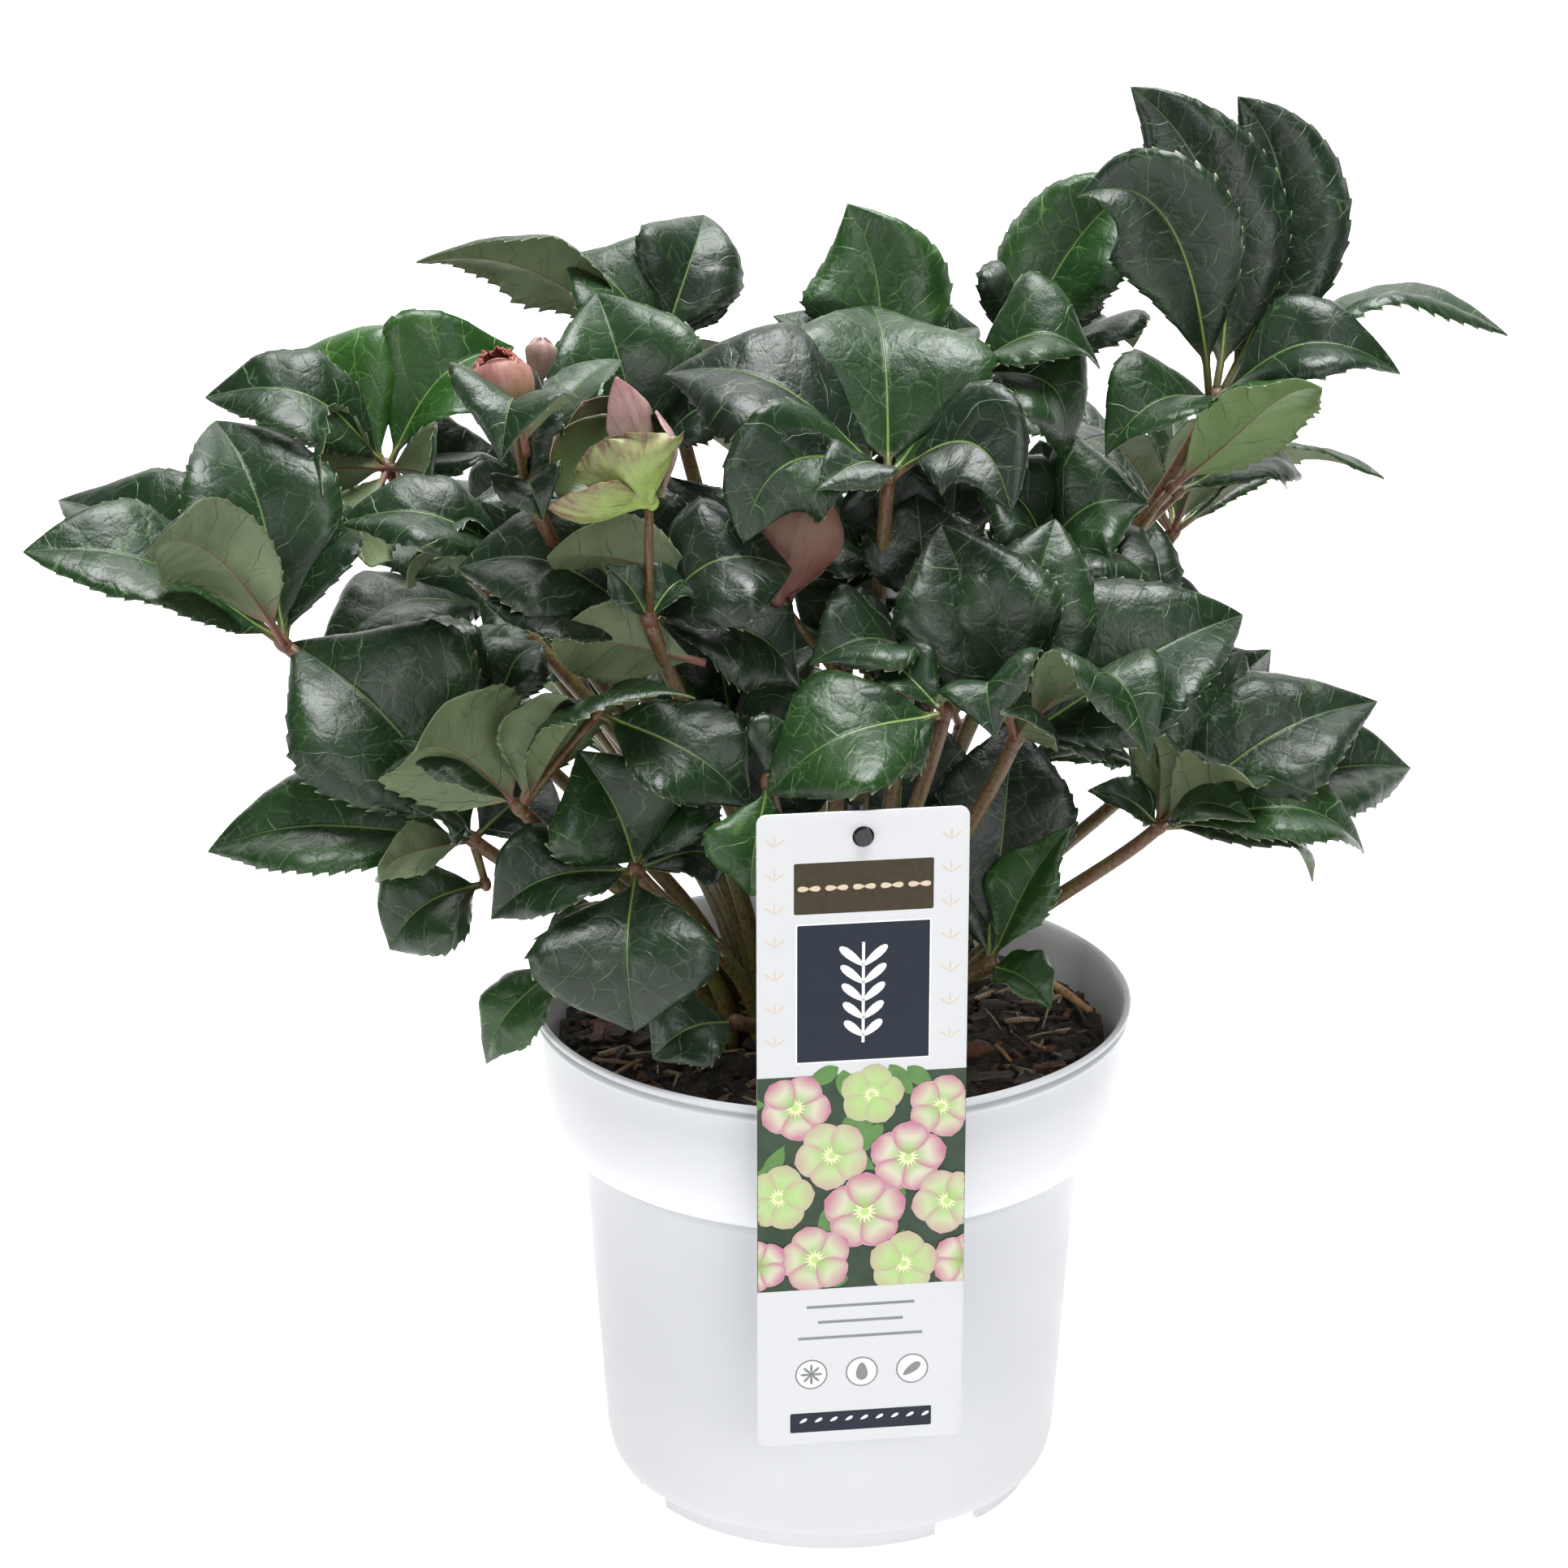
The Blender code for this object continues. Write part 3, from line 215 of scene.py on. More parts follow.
def facing(right, up, front):
    """A direction given as it is seen: to the right, up, and towards the eye."""
    return (Vector((right, 0, 0)) + view_up * up - view_forward * front).normalized()


def outline(u, peak, fullness):
    """Half the leaflet's breadth along its length, as a share of its widest: a narrow foot, then full."""
    u = (u - FOOT_SHARE) / (1 - FOOT_SHARE)
    return math.sin(math.pi * u ** peak) ** fullness if 0 < u < 1 else 0.0


class Blade:
    """One leaflet or sepal: an arched midrib from foot to tip, and the way its upper side faces."""

    def __init__(self, foot, tip, axis, width, arch, number):
        self.foot = foot
        self.chord = tip - foot
        self.face = (axis - self.chord * axis.dot(self.chord) / self.chord.length_squared).normalized()
        self.width, self.arch = width, arch
        self.phase = number * 2.4

    def spine(self, u):
        return self.foot + self.chord * u + self.face * self.arch * math.sin(math.pi * u ** 1.15)

    def heading(self, u):
        """The way the midrib runs at u."""
        return (self.spine(min(u + 0.02, 1.0)) - self.spine(max(u - 0.02, 0.0))).normalized()

    def frame(self, u):
        """The ways across the blade and out of its upper side at u."""
        along = self.heading(u)
        side = along.cross(self.face).normalized()
        return side, side.cross(along)


print("eye of the view, mm:", [round(value, 1) for value in view_eye])

# %% [markdown]
# Leaflets crowd each other. Where two solids would have touched, the later one was swung about its foot,
# step by step, until it was clear. The step that each one stopped at is listed below, so that a leaflet
# made here lies where its solid does. A leaflet that found no room was left out.

# %% Where each stem and leaflet goes
# The step each leaflet of a stem stopped at: 0 is as wanted, None is left out
SEARCH_STEPS = {
    "right_centre": (0, 2, 5, 23, 1, 28, 0), "centre": (0, 6, 0, 14, 15, 11), "left_low": (0, 0, 0, 9, 0),
    "left_centre": (0, 0, 0, 12, 1), "low_front": (19, 8, 40, 0, 0),
    "right_low": (0, 0, 6, 0, 0, 23, 7, 119, 29), "far_left": (0, 0, 0, 20, None, 24),
    "top_right": (0, 2, 14, 0, 6, 3, 0, 0), "upper_left": (5, 6, 6, 1, 30, 39, 0),
    "middle_left": (27, 39, None, 16, None, 13), "inner_left": (0, 6, 3, 0, 0), "front_bright": (0, 17, 22),
    "centre_back": (0, 0, 0, 11, 0), "inner_right": (0, 0, 0, None), "tall_right": (0, 6, 0),
    "behind_left": (0, 0, 0, 5), "back_left": (0, 2, 14, 0), "middle_right": (0, 5, 31, 29),
    "middle_front": (74, 113, None, 104), "left_shade": (5, 14, 117, 23), "rim_left": (0, 115),
    "low_right": (0, 0, 17, None), "front_hanging": (0, 0), "soil_leaf": (0,), "core_left": (0, 5, 57, 15),
    "core_right": (9, 27, 0, None), "shade_right": (0, 2, 0, 23), "shade_left": (0, 14, 0, 0),
    "bloom_stalk": (0, 0), "bud_stalk": (15, 113, 7, 58), "rear_left": (0, 0, 0, 15, 38, 34),
    "rear_low_left": (0, 0, 0, 19, 0), "rear_centre": (0, 0, 0, 0, 6, 2), "rear_low_right": (0, 0, 10, 14, 0),
    "rear_right": (0, 0, 0, 0, 11, 6), "rear_side_right": (0, 0, 17, 0, 0),
}
# The stems whose middle was moved aside to clear another, and how far
BENDS = {"rim_left": (6 * math.cos(4.71), 6 * math.sin(4.71))}


def whorl_axis(fork):
    """The way a whorl of leaflets opens: up, and a little away from the pot's axis."""
    away = Vector((fork.x, fork.y, 0))
    outward = away.normalized() * 0.25 * min(away.length / 100, 1)
    return (Vector((0, -FRONT_LEAN if fork.y < FRONT_LIMIT else 0, 1)) + outward).normalized()


def spread_feet(forks):
    """A place in the soil for each stem, towards its fork and clear of the others."""
    feet = []
    for fork in forks:
        away = Vector((fork.x, fork.y))
        share = min(max(1.15 - (fork.z - POT_HEIGHT) / 260, 0.45), 1.0)
        feet.append(away.normalized() * (8 + 0.30 * share * min(away.length, 130)))
    for _ in range(200):
        for one in range(len(feet)):
            for other in range(one):
                between = feet[one] - feet[other]
                if between.length < FOOT_SPACING:
                    push = between.normalized() * (FOOT_SPACING - between.length) / 2
                    feet[one] = feet[one] + push
                    feet[other] = feet[other] - push
    return feet


def stem_path(foot, fork, bend, steps=STEM_STEPS):
    """From under the soil straight up, then out to the fork, with its radius at each point."""
    level = Vector((foot.x, foot.y, SOIL_Z + 6))
    away = Vector((fork.x - foot.x, fork.y - foot.y, 0))
    rise = fork.z - level.z
    first = level + Vector((bend[0], bend[1], max(rise * 0.38, 8)))
    second = fork - away * 0.30 - Vector((-bend[0] / 2, -bend[1] / 2, rise * 0.30))
    path = [Vector((foot.x, foot.y, STEM_ROOT_Z))]
    for step in range(steps + 1):
        t = step / steps
        path.append(level * (1 - t) ** 3 + first * 3 * t * (1 - t) ** 2
                    + second * 3 * t * t * (1 - t) + fork * t ** 3)
    thinner = (STEM_TOP_RADIUS - STEM_FOOT_RADIUS) / steps
    return path, [STEM_FOOT_RADIUS + thinner * row for row in range(steps + 2)]


def search_turn(step):
    """What the search did at this step: degrees sideways, degrees up, and the share of the length kept."""
    if step == 0:
        return 0.0, 0.0, 1.0
    rounds, eighths = divmod(step - 1, 8)
    turn = TURNS[rounds % len(TURNS)]
    return turn * math.cos(eighths * EIGHTH), turn * math.sin(eighths * EIGHTH), SHARES[rounds // len(TURNS)]


def placed_blade(foot, tip, axis, width, arch, number, step):
    """The leaflet's blade, swung and lifted about its foot as the search left it."""
    wanted = Blade(foot, tip, axis, width, arch, number)
    side = wanted.chord.cross(wanted.face).normalized()
    swing, lift, share = search_turn(step)
    chord = wanted.chord.copy()
    chord.rotate(Quaternion(wanted.face, math.radians(swing)))
    chord.rotate(Quaternion(side, math.radians(lift)))
    return Blade(foot, foot + chord * share, axis, width * (0.5 + share / 2), arch * share, number)


def rear_leaflets(fork, count, length, number):
    """Tips, widths and arches of a whorl that the front doesn't show."""
    draw = random.Random(number)
    axis = whorl_axis(fork)
    first = axis.orthogonal().normalized()
    second = axis.cross(first)
    leaflets = []
    for index in range(count):
        turn = math.tau * (index + draw.uniform(-0.2, 0.2)) / count
        lift = math.radians(draw.uniform(14, 46))
        reach = length * draw.uniform(0.82, 1.1)
        radial = first * math.cos(turn) + second * math.sin(turn)
        tip = fork + (radial * math.cos(lift) + axis * math.sin(lift)) * reach
        leaflets.append((tip, reach * draw.uniform(0.42, 0.52), reach * 0.13))
    return leaflets


def plan_plant():
    """Every stem's path and route, and the blades and twigs it carries."""
    forks = {name: seen(*entry[0]) for name, entry in (LEAFY_STEMS | STALKS).items()}
    forks |= {name: Vector(entry[0]) for name, entry in BACK_STEMS.items()}
    paths, blades, twigs = {}, {}, {}
    number = 0
    for (name, fork), foot in zip(forks.items(), spread_feet(list(forks.values()))):
        route = (foot, fork, BENDS.get(name, (0, 0)))
        path = stem_path(*route)[0]
        paths[name], blades[name], twigs[name] = (path, route), [], []
        if name in BACK_STEMS:
            leaflets = rear_leaflets(fork, *BACK_STEMS[name][1:], number)
        else:
            leaflets = [(seen(*entry[:3]), *entry[3:5], *(seen(*place) for place in entry[5:]))
                        for entry in (LEAFY_STEMS | STALKS)[name][1]]
        for order, (tip, width, arch, *own_foot) in enumerate(leaflets):
            number += 1
            if SEARCH_STEPS[name][order] is None:
                continue
            start = own_foot[0] if own_foot else fork
            blade = placed_blade(start, tip, whorl_axis(fork), width, arch, number, SEARCH_STEPS[name][order])
            blade.order = order
            blades[name].append(blade)
            if own_foot:
                twigs[name].append((min(path[3:], key=lambda point: (point - start).length), start))
    return paths, blades, twigs


paths, blades, twigs = plan_plant()
print("stems:", len(paths), "leaflets:", sum(len(found) for found in blades.values()))

# %% [markdown]
# Finishes come next. A leaf has a dark, glossy upper side with a pale net of veins, and a matt grey-green
# underside with a reddish midrib. Both patterns follow the leaflet itself, so each leaflet carries its
# own measures as attributes: how far across and along each point lies, and how fresh the leaflet is.

# %% Small helpers for node materials
def new_finish(name):
    """An empty node material: itself, its tree and its shader."""
    made = bpy.data.materials.new(name)
    made.use_nodes = True
    return made, made.node_tree, made.node_tree.nodes["Principled BSDF"]


def set_inputs(tree, node, inputs):
    """Sets each input to a value, or links it to another node's output."""
    for socket, value in inputs.items():
        if isinstance(value, bpy.types.NodeSocket):
            tree.links.new(value, node.inputs[socket])
        else:
            node.inputs[socket].default_value = value


def add_node(tree, kind, inputs=None, **settings):
    """A node with its settings and inputs."""
    made = tree.nodes.new("ShaderNode" + kind)
    for name, value in settings.items():
        setattr(made, name, value)
    set_inputs(tree, made, inputs or {})
    return made


def reckon(tree, operation, *values):
    return add_node(tree, "Math", dict(enumerate(values)), operation=operation).outputs[0]


def times(tree, first, second):
    return reckon(tree, "MULTIPLY", first, second)


def times_plus(tree, first, second, more):
    return reckon(tree, "MULTIPLY_ADD", first, second, more)


def vary(tree, operation, first, second):
    return add_node(tree, "VectorMath", {0: first, 1: second}, operation=operation).outputs[0]


def span(tree, value, low, high, first=0.0, last=1.0):
    """The value's way from low to high as a way from first to last, held at both ends."""
    inputs = {"Value": value, "From Min": low, "From Max": high, "To Min": first, "To Max": last}
    return add_node(tree, "MapRange", inputs).outputs[0]


def blend_color(tree, share, first, second):
    full = [(*color, 1.0) if isinstance(color, tuple) else color for color in (first, second)]
    return add_node(tree, "Mix", {0: share, 6: full[0], 7: full[1]}, data_type="RGBA").outputs[2]


def grain(tree, vector, scale, detail=2.0, roughness=0.5, output=0):
    inputs = {"Vector": vector, "Scale": scale, "Detail": detail, "Roughness": roughness}
    return add_node(tree, "TexNoise", inputs).outputs[output]


def parts_of(tree, vector):
    return add_node(tree, "SeparateXYZ", {0: vector}).outputs


def joined(tree, x, y, z):
    return add_node(tree, "CombineXYZ", {0: x, 1: y, 2: z}).outputs[0]


def attribute(tree, name, output="Vector"):
    return add_node(tree, "Attribute", attribute_name=name).outputs[output]


def own_place(tree):
    return add_node(tree, "TexCoord").outputs["Object"]


def painted(tree, shader, color, roughness, shine=0.5):
    set_inputs(tree, shader, {"Base Color": color, "Roughness": roughness, "Specular IOR Level": shine})


def bumped(tree, shader, height, distance, strength=1.0):
    inputs = {"Height": height, "Distance": distance, "Strength": strength}
    set_inputs(tree, shader, {"Normal": add_node(tree, "Bump", inputs).outputs[0]})


# %% [markdown]
# The veins are drawn by rule. A side vein leaves the midrib forwards, so the distance along the leaflet
# less a share of the distance across is the same all along it. Folding that number back and forth gives
# the distance to the nearest vein. A little noise in the place makes the veins wander, and a cell
# pattern between them gives the fine net.

# %% Veins of a leaflet
def veins(tree):
    """The masks of midrib, side veins and net, the leaflet's numbers, and the wandering place."""
    across, along, share = parts_of(tree, attribute(tree, "leaf_place"))
    tone_and_shade, fresh, seed = parts_of(tree, attribute(tree, "leaf_kind"))
    place = joined(tree, across, along, times(tree, seed, 300.0))
    shift = vary(tree, "SUBTRACT", grain(tree, place, 0.075, 2.0, 0.5, 1), (0.5, 0.5, 0.5))
    wander = vary(tree, "ADD", place, vary(tree, "MULTIPLY", shift, (7.0, 7.0, 0.0)))
    across_now, along_now, _ = parts_of(tree, wander)
    reach = reckon(tree, "ABSOLUTE", across_now)
    lean = times_plus(tree, reach, -0.5, along_now)
    lean = times_plus(tree, reckon(tree, "POWER", reach, 2.0), -0.014, lean)
    lean = times_plus(tree, reckon(tree, "GREATER_THAN", across, 0.0), VEIN_PITCH / 2, lean)
    off_vein = reckon(tree, "PINGPONG", lean, VEIN_PITCH / 2)
    broken = span(tree, grain(tree, place, 0.16, 2.0), 0.36, 0.56)
    side = times(tree, span(tree, off_vein, 0.06, 0.25, 1.0, 0.0), broken)
    cells = add_node(tree, "TexVoronoi", {"Vector": wander, "Scale": 0.15},
                     feature="DISTANCE_TO_EDGE").outputs[0]
    thin = span(tree, grain(tree, place, 0.22, 1.0), 0.42, 0.62)
    net = times(tree, span(tree, cells, 0.008, 0.036, 1.0, 0.0), thin)
    rib_width = span(tree, share, 0.1, 0.9, 0.75, 0.22)
    off_rib = reckon(tree, "DIVIDE", reckon(tree, "ABSOLUTE", across), rib_width)
    midrib = span(tree, off_rib, 0.35, 0.9, 1.0, 0.0)
    return {"place": place, "midrib": midrib, "side": side, "net": net, "cells": cells, "share": share,
            "tone_and_shade": tone_and_shade, "fresh": fresh, "rim": attribute(tree, "leaf_rim", "Fac")}

# %% [markdown]
# The upper side of a hellebore leaf is dark, leathery and glossy, with a pale midrib and finely sunken
# veins. It could be painted as a picture, but a rule stays sharp at any distance. So the colours are laid
# one over another by the masks of the veins, and the same masks press the veins into the surface. In
# patches the side veins are painted dark, as painted shade in their sunken grooves.

# %% The upper side of a leaf
def make_leaf_top():
    made, tree, shader = new_finish("leaf_upper_side")
    leaf = veins(tree)
    patches = span(tree, grain(tree, leaf["place"], 0.035, 3.0), 0.35, 0.68)
    dark = blend_color(tree, patches, (0.0070, 0.020, 0.0075), (0.018, 0.043, 0.016))
    # The tone darkens each leaflet at random, and the deep leaflets most, as painted shade deep in the plant.
    dark = blend_color(tree, leaf["tone_and_shade"], dark, (0.0060, 0.013, 0.0070))
    bright = blend_color(tree, patches, (0.011, 0.054, 0.007), (0.026, 0.088, 0.012))
    base = blend_color(tree, leaf["fresh"], dark, bright)
    pale = blend_color(tree, leaf["fresh"], (0.13, 0.21, 0.10), (0.16, 0.33, 0.06))
    color = blend_color(tree, times(tree, leaf["net"], 0.28), base, pale)
    # Painted shade: in patches the side veins are painted dark, for the shade in their sunken grooves.
    painted_vein_shade = span(tree, grain(tree, leaf["place"], 0.06, 1.0), 0.5, 0.6)
    line_color = blend_color(tree, times(tree, painted_vein_shade, 0.8), pale, (0.004, 0.007, 0.005))
    color = blend_color(tree, times(tree, leaf["side"], 0.72), color, line_color)
    rib_color = blend_color(tree, leaf["share"], (0.19, 0.28, 0.06), (0.10, 0.19, 0.07))
    along_rib = span(tree, leaf["share"], 0.1, 0.95, 0.95, 0.6)
    color = blend_color(tree, times(tree, leaf["midrib"], along_rib), color, rib_color)
    color = blend_color(tree, span(tree, leaf["rim"], 1.022, 1.04), color, (0.30, 0.33, 0.17))
    color = blend_color(tree, span(tree, leaf["share"], 0.05, 0.13, 0.8, 0.0), color, (0.13, 0.11, 0.04))
    rough = span(tree, grain(tree, leaf["place"], 0.10, 4.0), 0.35, 0.65, 0.24, 0.40)
    painted(tree, shader, color, rough, 0.47)
    wrinkle = grain(tree, leaf["place"], 1.0, 4.0, 0.65)
    swell = grain(tree, leaf["place"], 0.16, 2.0)
    blister = span(tree, leaf["cells"], 0.0, 0.16)
    height = times_plus(tree, wrinkle, 0.34, times(tree, blister, 0.14))
    height = times_plus(tree, swell, 0.9, height)
    height = times_plus(tree, leaf["side"], -0.22, height)
    height = times_plus(tree, leaf["midrib"], -0.5, height)
    bumped(tree, shader, height, 0.0007, 0.7)
    return made

# %% [markdown]
# The underside is matt and paler, its veins are dark and its midrib is reddish near the stalk. It reads
# the same masks, so that the two sides of a leaflet agree and only the colours differ.

# %% The underside of a leaf
def make_leaf_under():
    made, tree, shader = new_finish("leaf_underside")
    leaf = veins(tree)
    patches = grain(tree, leaf["place"], 0.05, 3.0)
    base = blend_color(tree, span(tree, patches, 0.3, 0.7), (0.085, 0.118, 0.055), (0.150, 0.190, 0.095))
    base = blend_color(tree, times(tree, leaf["fresh"], 0.6), base, (0.13, 0.23, 0.05))
    lines = reckon(tree, "MAXIMUM", leaf["side"], times(tree, leaf["net"], 0.5))
    color = blend_color(tree, times(tree, lines, 0.75), base, (0.030, 0.042, 0.018))
    red = times(tree, leaf["midrib"], span(tree, leaf["share"], 0.15, 0.9, 0.95, 0.25))
    color = blend_color(tree, red, color, (0.11, 0.035, 0.025))
    color = blend_color(tree, span(tree, leaf["share"], 0.05, 0.17, 0.9, 0.0), color, (0.17, 0.055, 0.04))
    painted(tree, shader, color, 0.58)
    height = times_plus(tree, leaf["side"], 0.7, grain(tree, leaf["place"], 0.9, 3.0))
    bumped(tree, shader, height, 0.0003, 0.6)
    return made

# %% [markdown]
# Hellebore stems are green at the soil and turn dark red towards the leaves. Each stem carries the share
# of its own length as an attribute, so one finish can shade them all from foot to fork.

# %% Stems, from green at the soil to dark red at the fork, with fine dark specks
def make_stem_finish():
    made, tree, shader = new_finish("stem")
    place = own_place(tree)
    share = parts_of(tree, attribute(tree, "leaf_place"))[2]
    streaks = grain(tree, vary(tree, "MULTIPLY", place, (260.0, 260.0, 40.0)), 1.0, 3.0, 0.6)
    reddish = span(tree, streaks, 0.35, 0.65, 0.0, 0.5)
    reddish = times_plus(tree, span(tree, share, 0.35, 1.0), 0.55, reddish)
    green = blend_color(tree, streaks, (0.070, 0.080, 0.016), (0.19, 0.17, 0.045))
    color = blend_color(tree, reddish, green, (0.115, 0.040, 0.022))
    specks = span(tree, grain(tree, place, 700.0, 3.0, 0.75), 0.52, 0.60)
    color = blend_color(tree, times(tree, specks, 0.7), color, (0.040, 0.014, 0.010))
    painted(tree, shader, color, 0.42)
    bumped(tree, shader, streaks, 0.0003, 0.5)
    return made

# %% [markdown]
# Sepals are fanned with veins and flushed with another colour at their edge and tip. One finish makes
# them all, from two ground colours and a flush, so that each bloom can have its own tint.

# %% Sepals, veined and flushed at their edge
def make_sepal_finish(name, inner, outer, flush, flushed):
    """A sepal's finish: two ground colours, the flush at its edge and tip, and how far that comes in."""
    made, tree, shader = new_finish(name)
    across, along, share = parts_of(tree, attribute(tree, "leaf_place"))
    _, _, seed = parts_of(tree, attribute(tree, "leaf_kind"))
    fan = reckon(tree, "DIVIDE", across, times_plus(tree, along, 0.25, 3.0))
    place = joined(tree, fan, times(tree, along, 0.02), times(tree, seed, 40.0))
    lines = grain(tree, place, 5.5, 3.0, 0.6)
    flecks = grain(tree, joined(tree, across, along, seed), 0.3, 3.0, 0.65)
    ground = blend_color(tree, span(tree, share, 0.1, 0.8), inner, outer)
    edge = reckon(tree, "POWER", attribute(tree, "leaf_rim", "Fac"), 4.0)
    tip = span(tree, share, 0.5, 0.95)
    amount = times_plus(tree, reckon(tree, "MAXIMUM", edge, tip), 0.75, flushed)
    amount = times_plus(tree, span(tree, flecks, 0.45, 0.7), 0.4, amount)
    amount = times(tree, amount, span(tree, lines, 0.3, 0.62, 0.35, 1.15))
    color = blend_color(tree, amount, ground, flush)
    darker = tuple(value * 0.45 for value in flush)
    color = blend_color(tree, span(tree, lines, 0.58, 0.72, 0.0, 0.45), color, darker)
    painted(tree, shader, color, 0.45)
    bumped(tree, shader, lines, 0.0003, 0.6)
    return made


leaf_top = make_leaf_top()
leaf_under = make_leaf_under()
stem_finish = make_stem_finish()
# Where each is used, its name, two ground colours, the flush, and how far the flush comes in
SEPAL_FINISHES = {use: make_sepal_finish(*row) for use, *row in (
    ("green_outside", "green_sepal", (0.25, 0.37, 0.075), (0.28, 0.35, 0.12), (0.15, 0.060, 0.050), 0.0),
    # The sepals' inner side: their own deep green, painted darker as the shade inside the cup.
    ("green_inside", "deep_green_sepal_painted_shade", (0.050, 0.085, 0.013), (0.032, 0.055, 0.012), (0.10, 0.045, 0.030),
     -0.5),
    ("mauve", "mauve_sepal", (0.29, 0.25, 0.13), (0.33, 0.22, 0.20), (0.23, 0.105, 0.11), 0.05),
    ("rose", "rose_sepal", (0.34, 0.23, 0.12), (0.33, 0.19, 0.12), (0.24, 0.075, 0.085), 0.04),
    ("orange", "orange_rose_sepal", (0.34, 0.13, 0.06), (0.38, 0.14, 0.06), (0.29, 0.050, 0.055), 0.0),
    ("pale_rose", "pale_rose_sepal", (0.20, 0.10, 0.085), (0.33, 0.27, 0.20), (0.24, 0.11, 0.12), 0.05),
    ("brick", "brick_sepal", (0.16, 0.060, 0.048), (0.17, 0.105, 0.060), (0.15, 0.050, 0.044), 0.10))}
print("finishes:", [made.name for made in (leaf_top, leaf_under, stem_finish)] + list(SEPAL_FINISHES))

# %% [markdown]
# The leaflet is modelled once, flat, and then copied. It starts as a grid. Its columns are drawn together
# near the midrib, where the shape bends most, and every third point of its rim is pushed out and forward
# to make the teeth. Solidify gives it a second side. Each copy is then laid along its own blade.

# %% Helpers for modelling by hand
def only(*things):
    """Selects these objects alone, the first of them active."""
    if bpy.context.object and bpy.context.object.mode != "OBJECT":
        bpy.ops.object.mode_set(mode="OBJECT")
    bpy.ops.object.select_all(action="DESELECT")
    for thing in things:
        thing.select_set(True)
    bpy.context.view_layer.objects.active = things[0]
    return things[0]


def added(name, operator, **settings):
    """What one of Blender's add operators makes, selected alone and named."""
    bpy.ops.object.select_all(action="DESELECT")
    operator(**settings)
    bpy.context.object.name = name
    return bpy.context.object


def linked(name, mesh):
    """A new object for a mesh, in the scene."""
    made = bpy.data.objects.new(name, mesh)
    bpy.context.scene.collection.objects.link(made)
    return made


def start_edit():
    """Edit mode with all the points selected."""
    bpy.ops.object.mode_set(mode="EDIT")
    bpy.ops.mesh.select_mode(type="VERT")
    bpy.ops.mesh.select_all(action="SELECT")


def pick(test):
    """Selects in edit mode the points that pass the test."""
    bpy.ops.mesh.select_all(action="DESELECT")
    mesh = bpy.context.object.data
    edited = bmesh.from_edit_mesh(mesh)
    for vert in edited.verts:
        vert.select_set(bool(test(vert.co)))
    edited.select_flush(True)
    bmesh.update_edit_mesh(mesh)


def end_edit(outward=False):
    """Back to object mode, after turning all faces outward where that is asked."""
    if outward:
        bpy.ops.mesh.select_all(action="SELECT")
        bpy.ops.mesh.normals_make_consistent(inside=False)
    bpy.ops.object.mode_set(mode="OBJECT")


def apply_all(thing):
    only(thing)
    for modifier in list(thing.modifiers):
        bpy.ops.object.modifier_apply(modifier=modifier.name)


def join_all(name, things):
    """Joins the things into the first of them."""
    only(*things)
    bpy.ops.object.join()
    things[0].name = name
    return things[0]


# %% The flat leaflet: across is -1 to 1, along is 0 to 1, and its two sides are at +1 and -1
TOOTH_ROWS = 3
COLUMN_PLACES = (0.05, 0.14, 0.28, 0.44, 0.61, 0.78, 0.92, 1.0)
ORIGIN = (0, 0, 0)


def flat_leaflet(name, rows, toothed=True):
    leaflet = added(name, bpy.ops.mesh.primitive_grid_add, x_subdivisions=2 * len(COLUMN_PLACES),
                    y_subdivisions=rows, size=2)
    start_edit()
    bpy.ops.transform.resize(value=(1, 0.5, 1))
    bpy.ops.transform.translate(value=(0, 0.5, 0))
    for number, wanted in enumerate(COLUMN_PLACES, 1):
        now = number / len(COLUMN_PLACES)
        pick(lambda co: abs(abs(co.x) - now) < 0.01 and (wanted <= now))
        bpy.ops.transform.resize(value=(wanted / now, 1, 1), center_override=ORIGIN)
    if toothed:
        for turn, out, ahead in ((1, 1.012, 0.3), (2, 1.052, 1.0)):
            pick(lambda co: abs(co.x) > 0.99 and 0.2 < co.y < 0.98
                 and round(co.y * rows) % TOOTH_ROWS == turn)
            bpy.ops.transform.resize(value=(out, 1, 1), center_override=ORIGIN)
            bpy.ops.transform.translate(value=(0, ahead / rows, 0))
    end_edit()
    for finish in (leaf_top, leaf_under):
        leaflet.data.materials.append(finish)
    bpy.ops.object.modifier_add(type="SOLIDIFY")
    solidify = leaflet.modifiers[0]
    solidify.thickness, solidify.offset = 2.0, 0.0
    solidify.material_offset = solidify.material_offset_rim = 1
    apply_all(leaflet)
    leaflet.data.shade_smooth()
    return leaflet


long_leaflet = flat_leaflet("long_leaflet", 54)
short_leaflet = flat_leaflet("short_leaflet", 36)
flat_sepal = flat_leaflet("flat_sepal", 30, toothed=False)
flat_petal = flat_leaflet("flat_petal", 10, toothed=False)
for flat in (long_leaflet, short_leaflet, flat_sepal, flat_petal):
    co = np.array([vert.co for vert in flat.data.vertices])
    print(flat.name, len(flat.data.polygons), "faces", co.min(0).round(2), co.max(0).round(2))

# %% [markdown]
# A real leaflet is not a plain bent sheet. Its halves bow up from the midrib and their rims turn down
# again, the rim is wavy, and the blade swells a little between its side veins. The midrib is a groove
# above and a rounded ridge below. All that is added as heights over the blade's own run.

# %% Hang a flat leaflet on a blade
LEAF_FORM = {"peak": 1.3, "fullness": 0.78, "fold": 0.2, "cup": 0.0, "curl": 0.10, "droop": 0.30,
             "twist": 0.0, "sickle": 0.0, "wave": 1.4, "ruffle": 0.5, "frill": 0.0, "swell": 0.30,
             "thickness": 0.26, "rib": 1.0, "rod": 1.15, "taper": 0.0}
MIDRIB_POINTS = 61


def smooth_step(values, low, high):
    share = np.clip((values - low) / (high - low), 0, 1)
    return share * share * (3 - 2 * share)


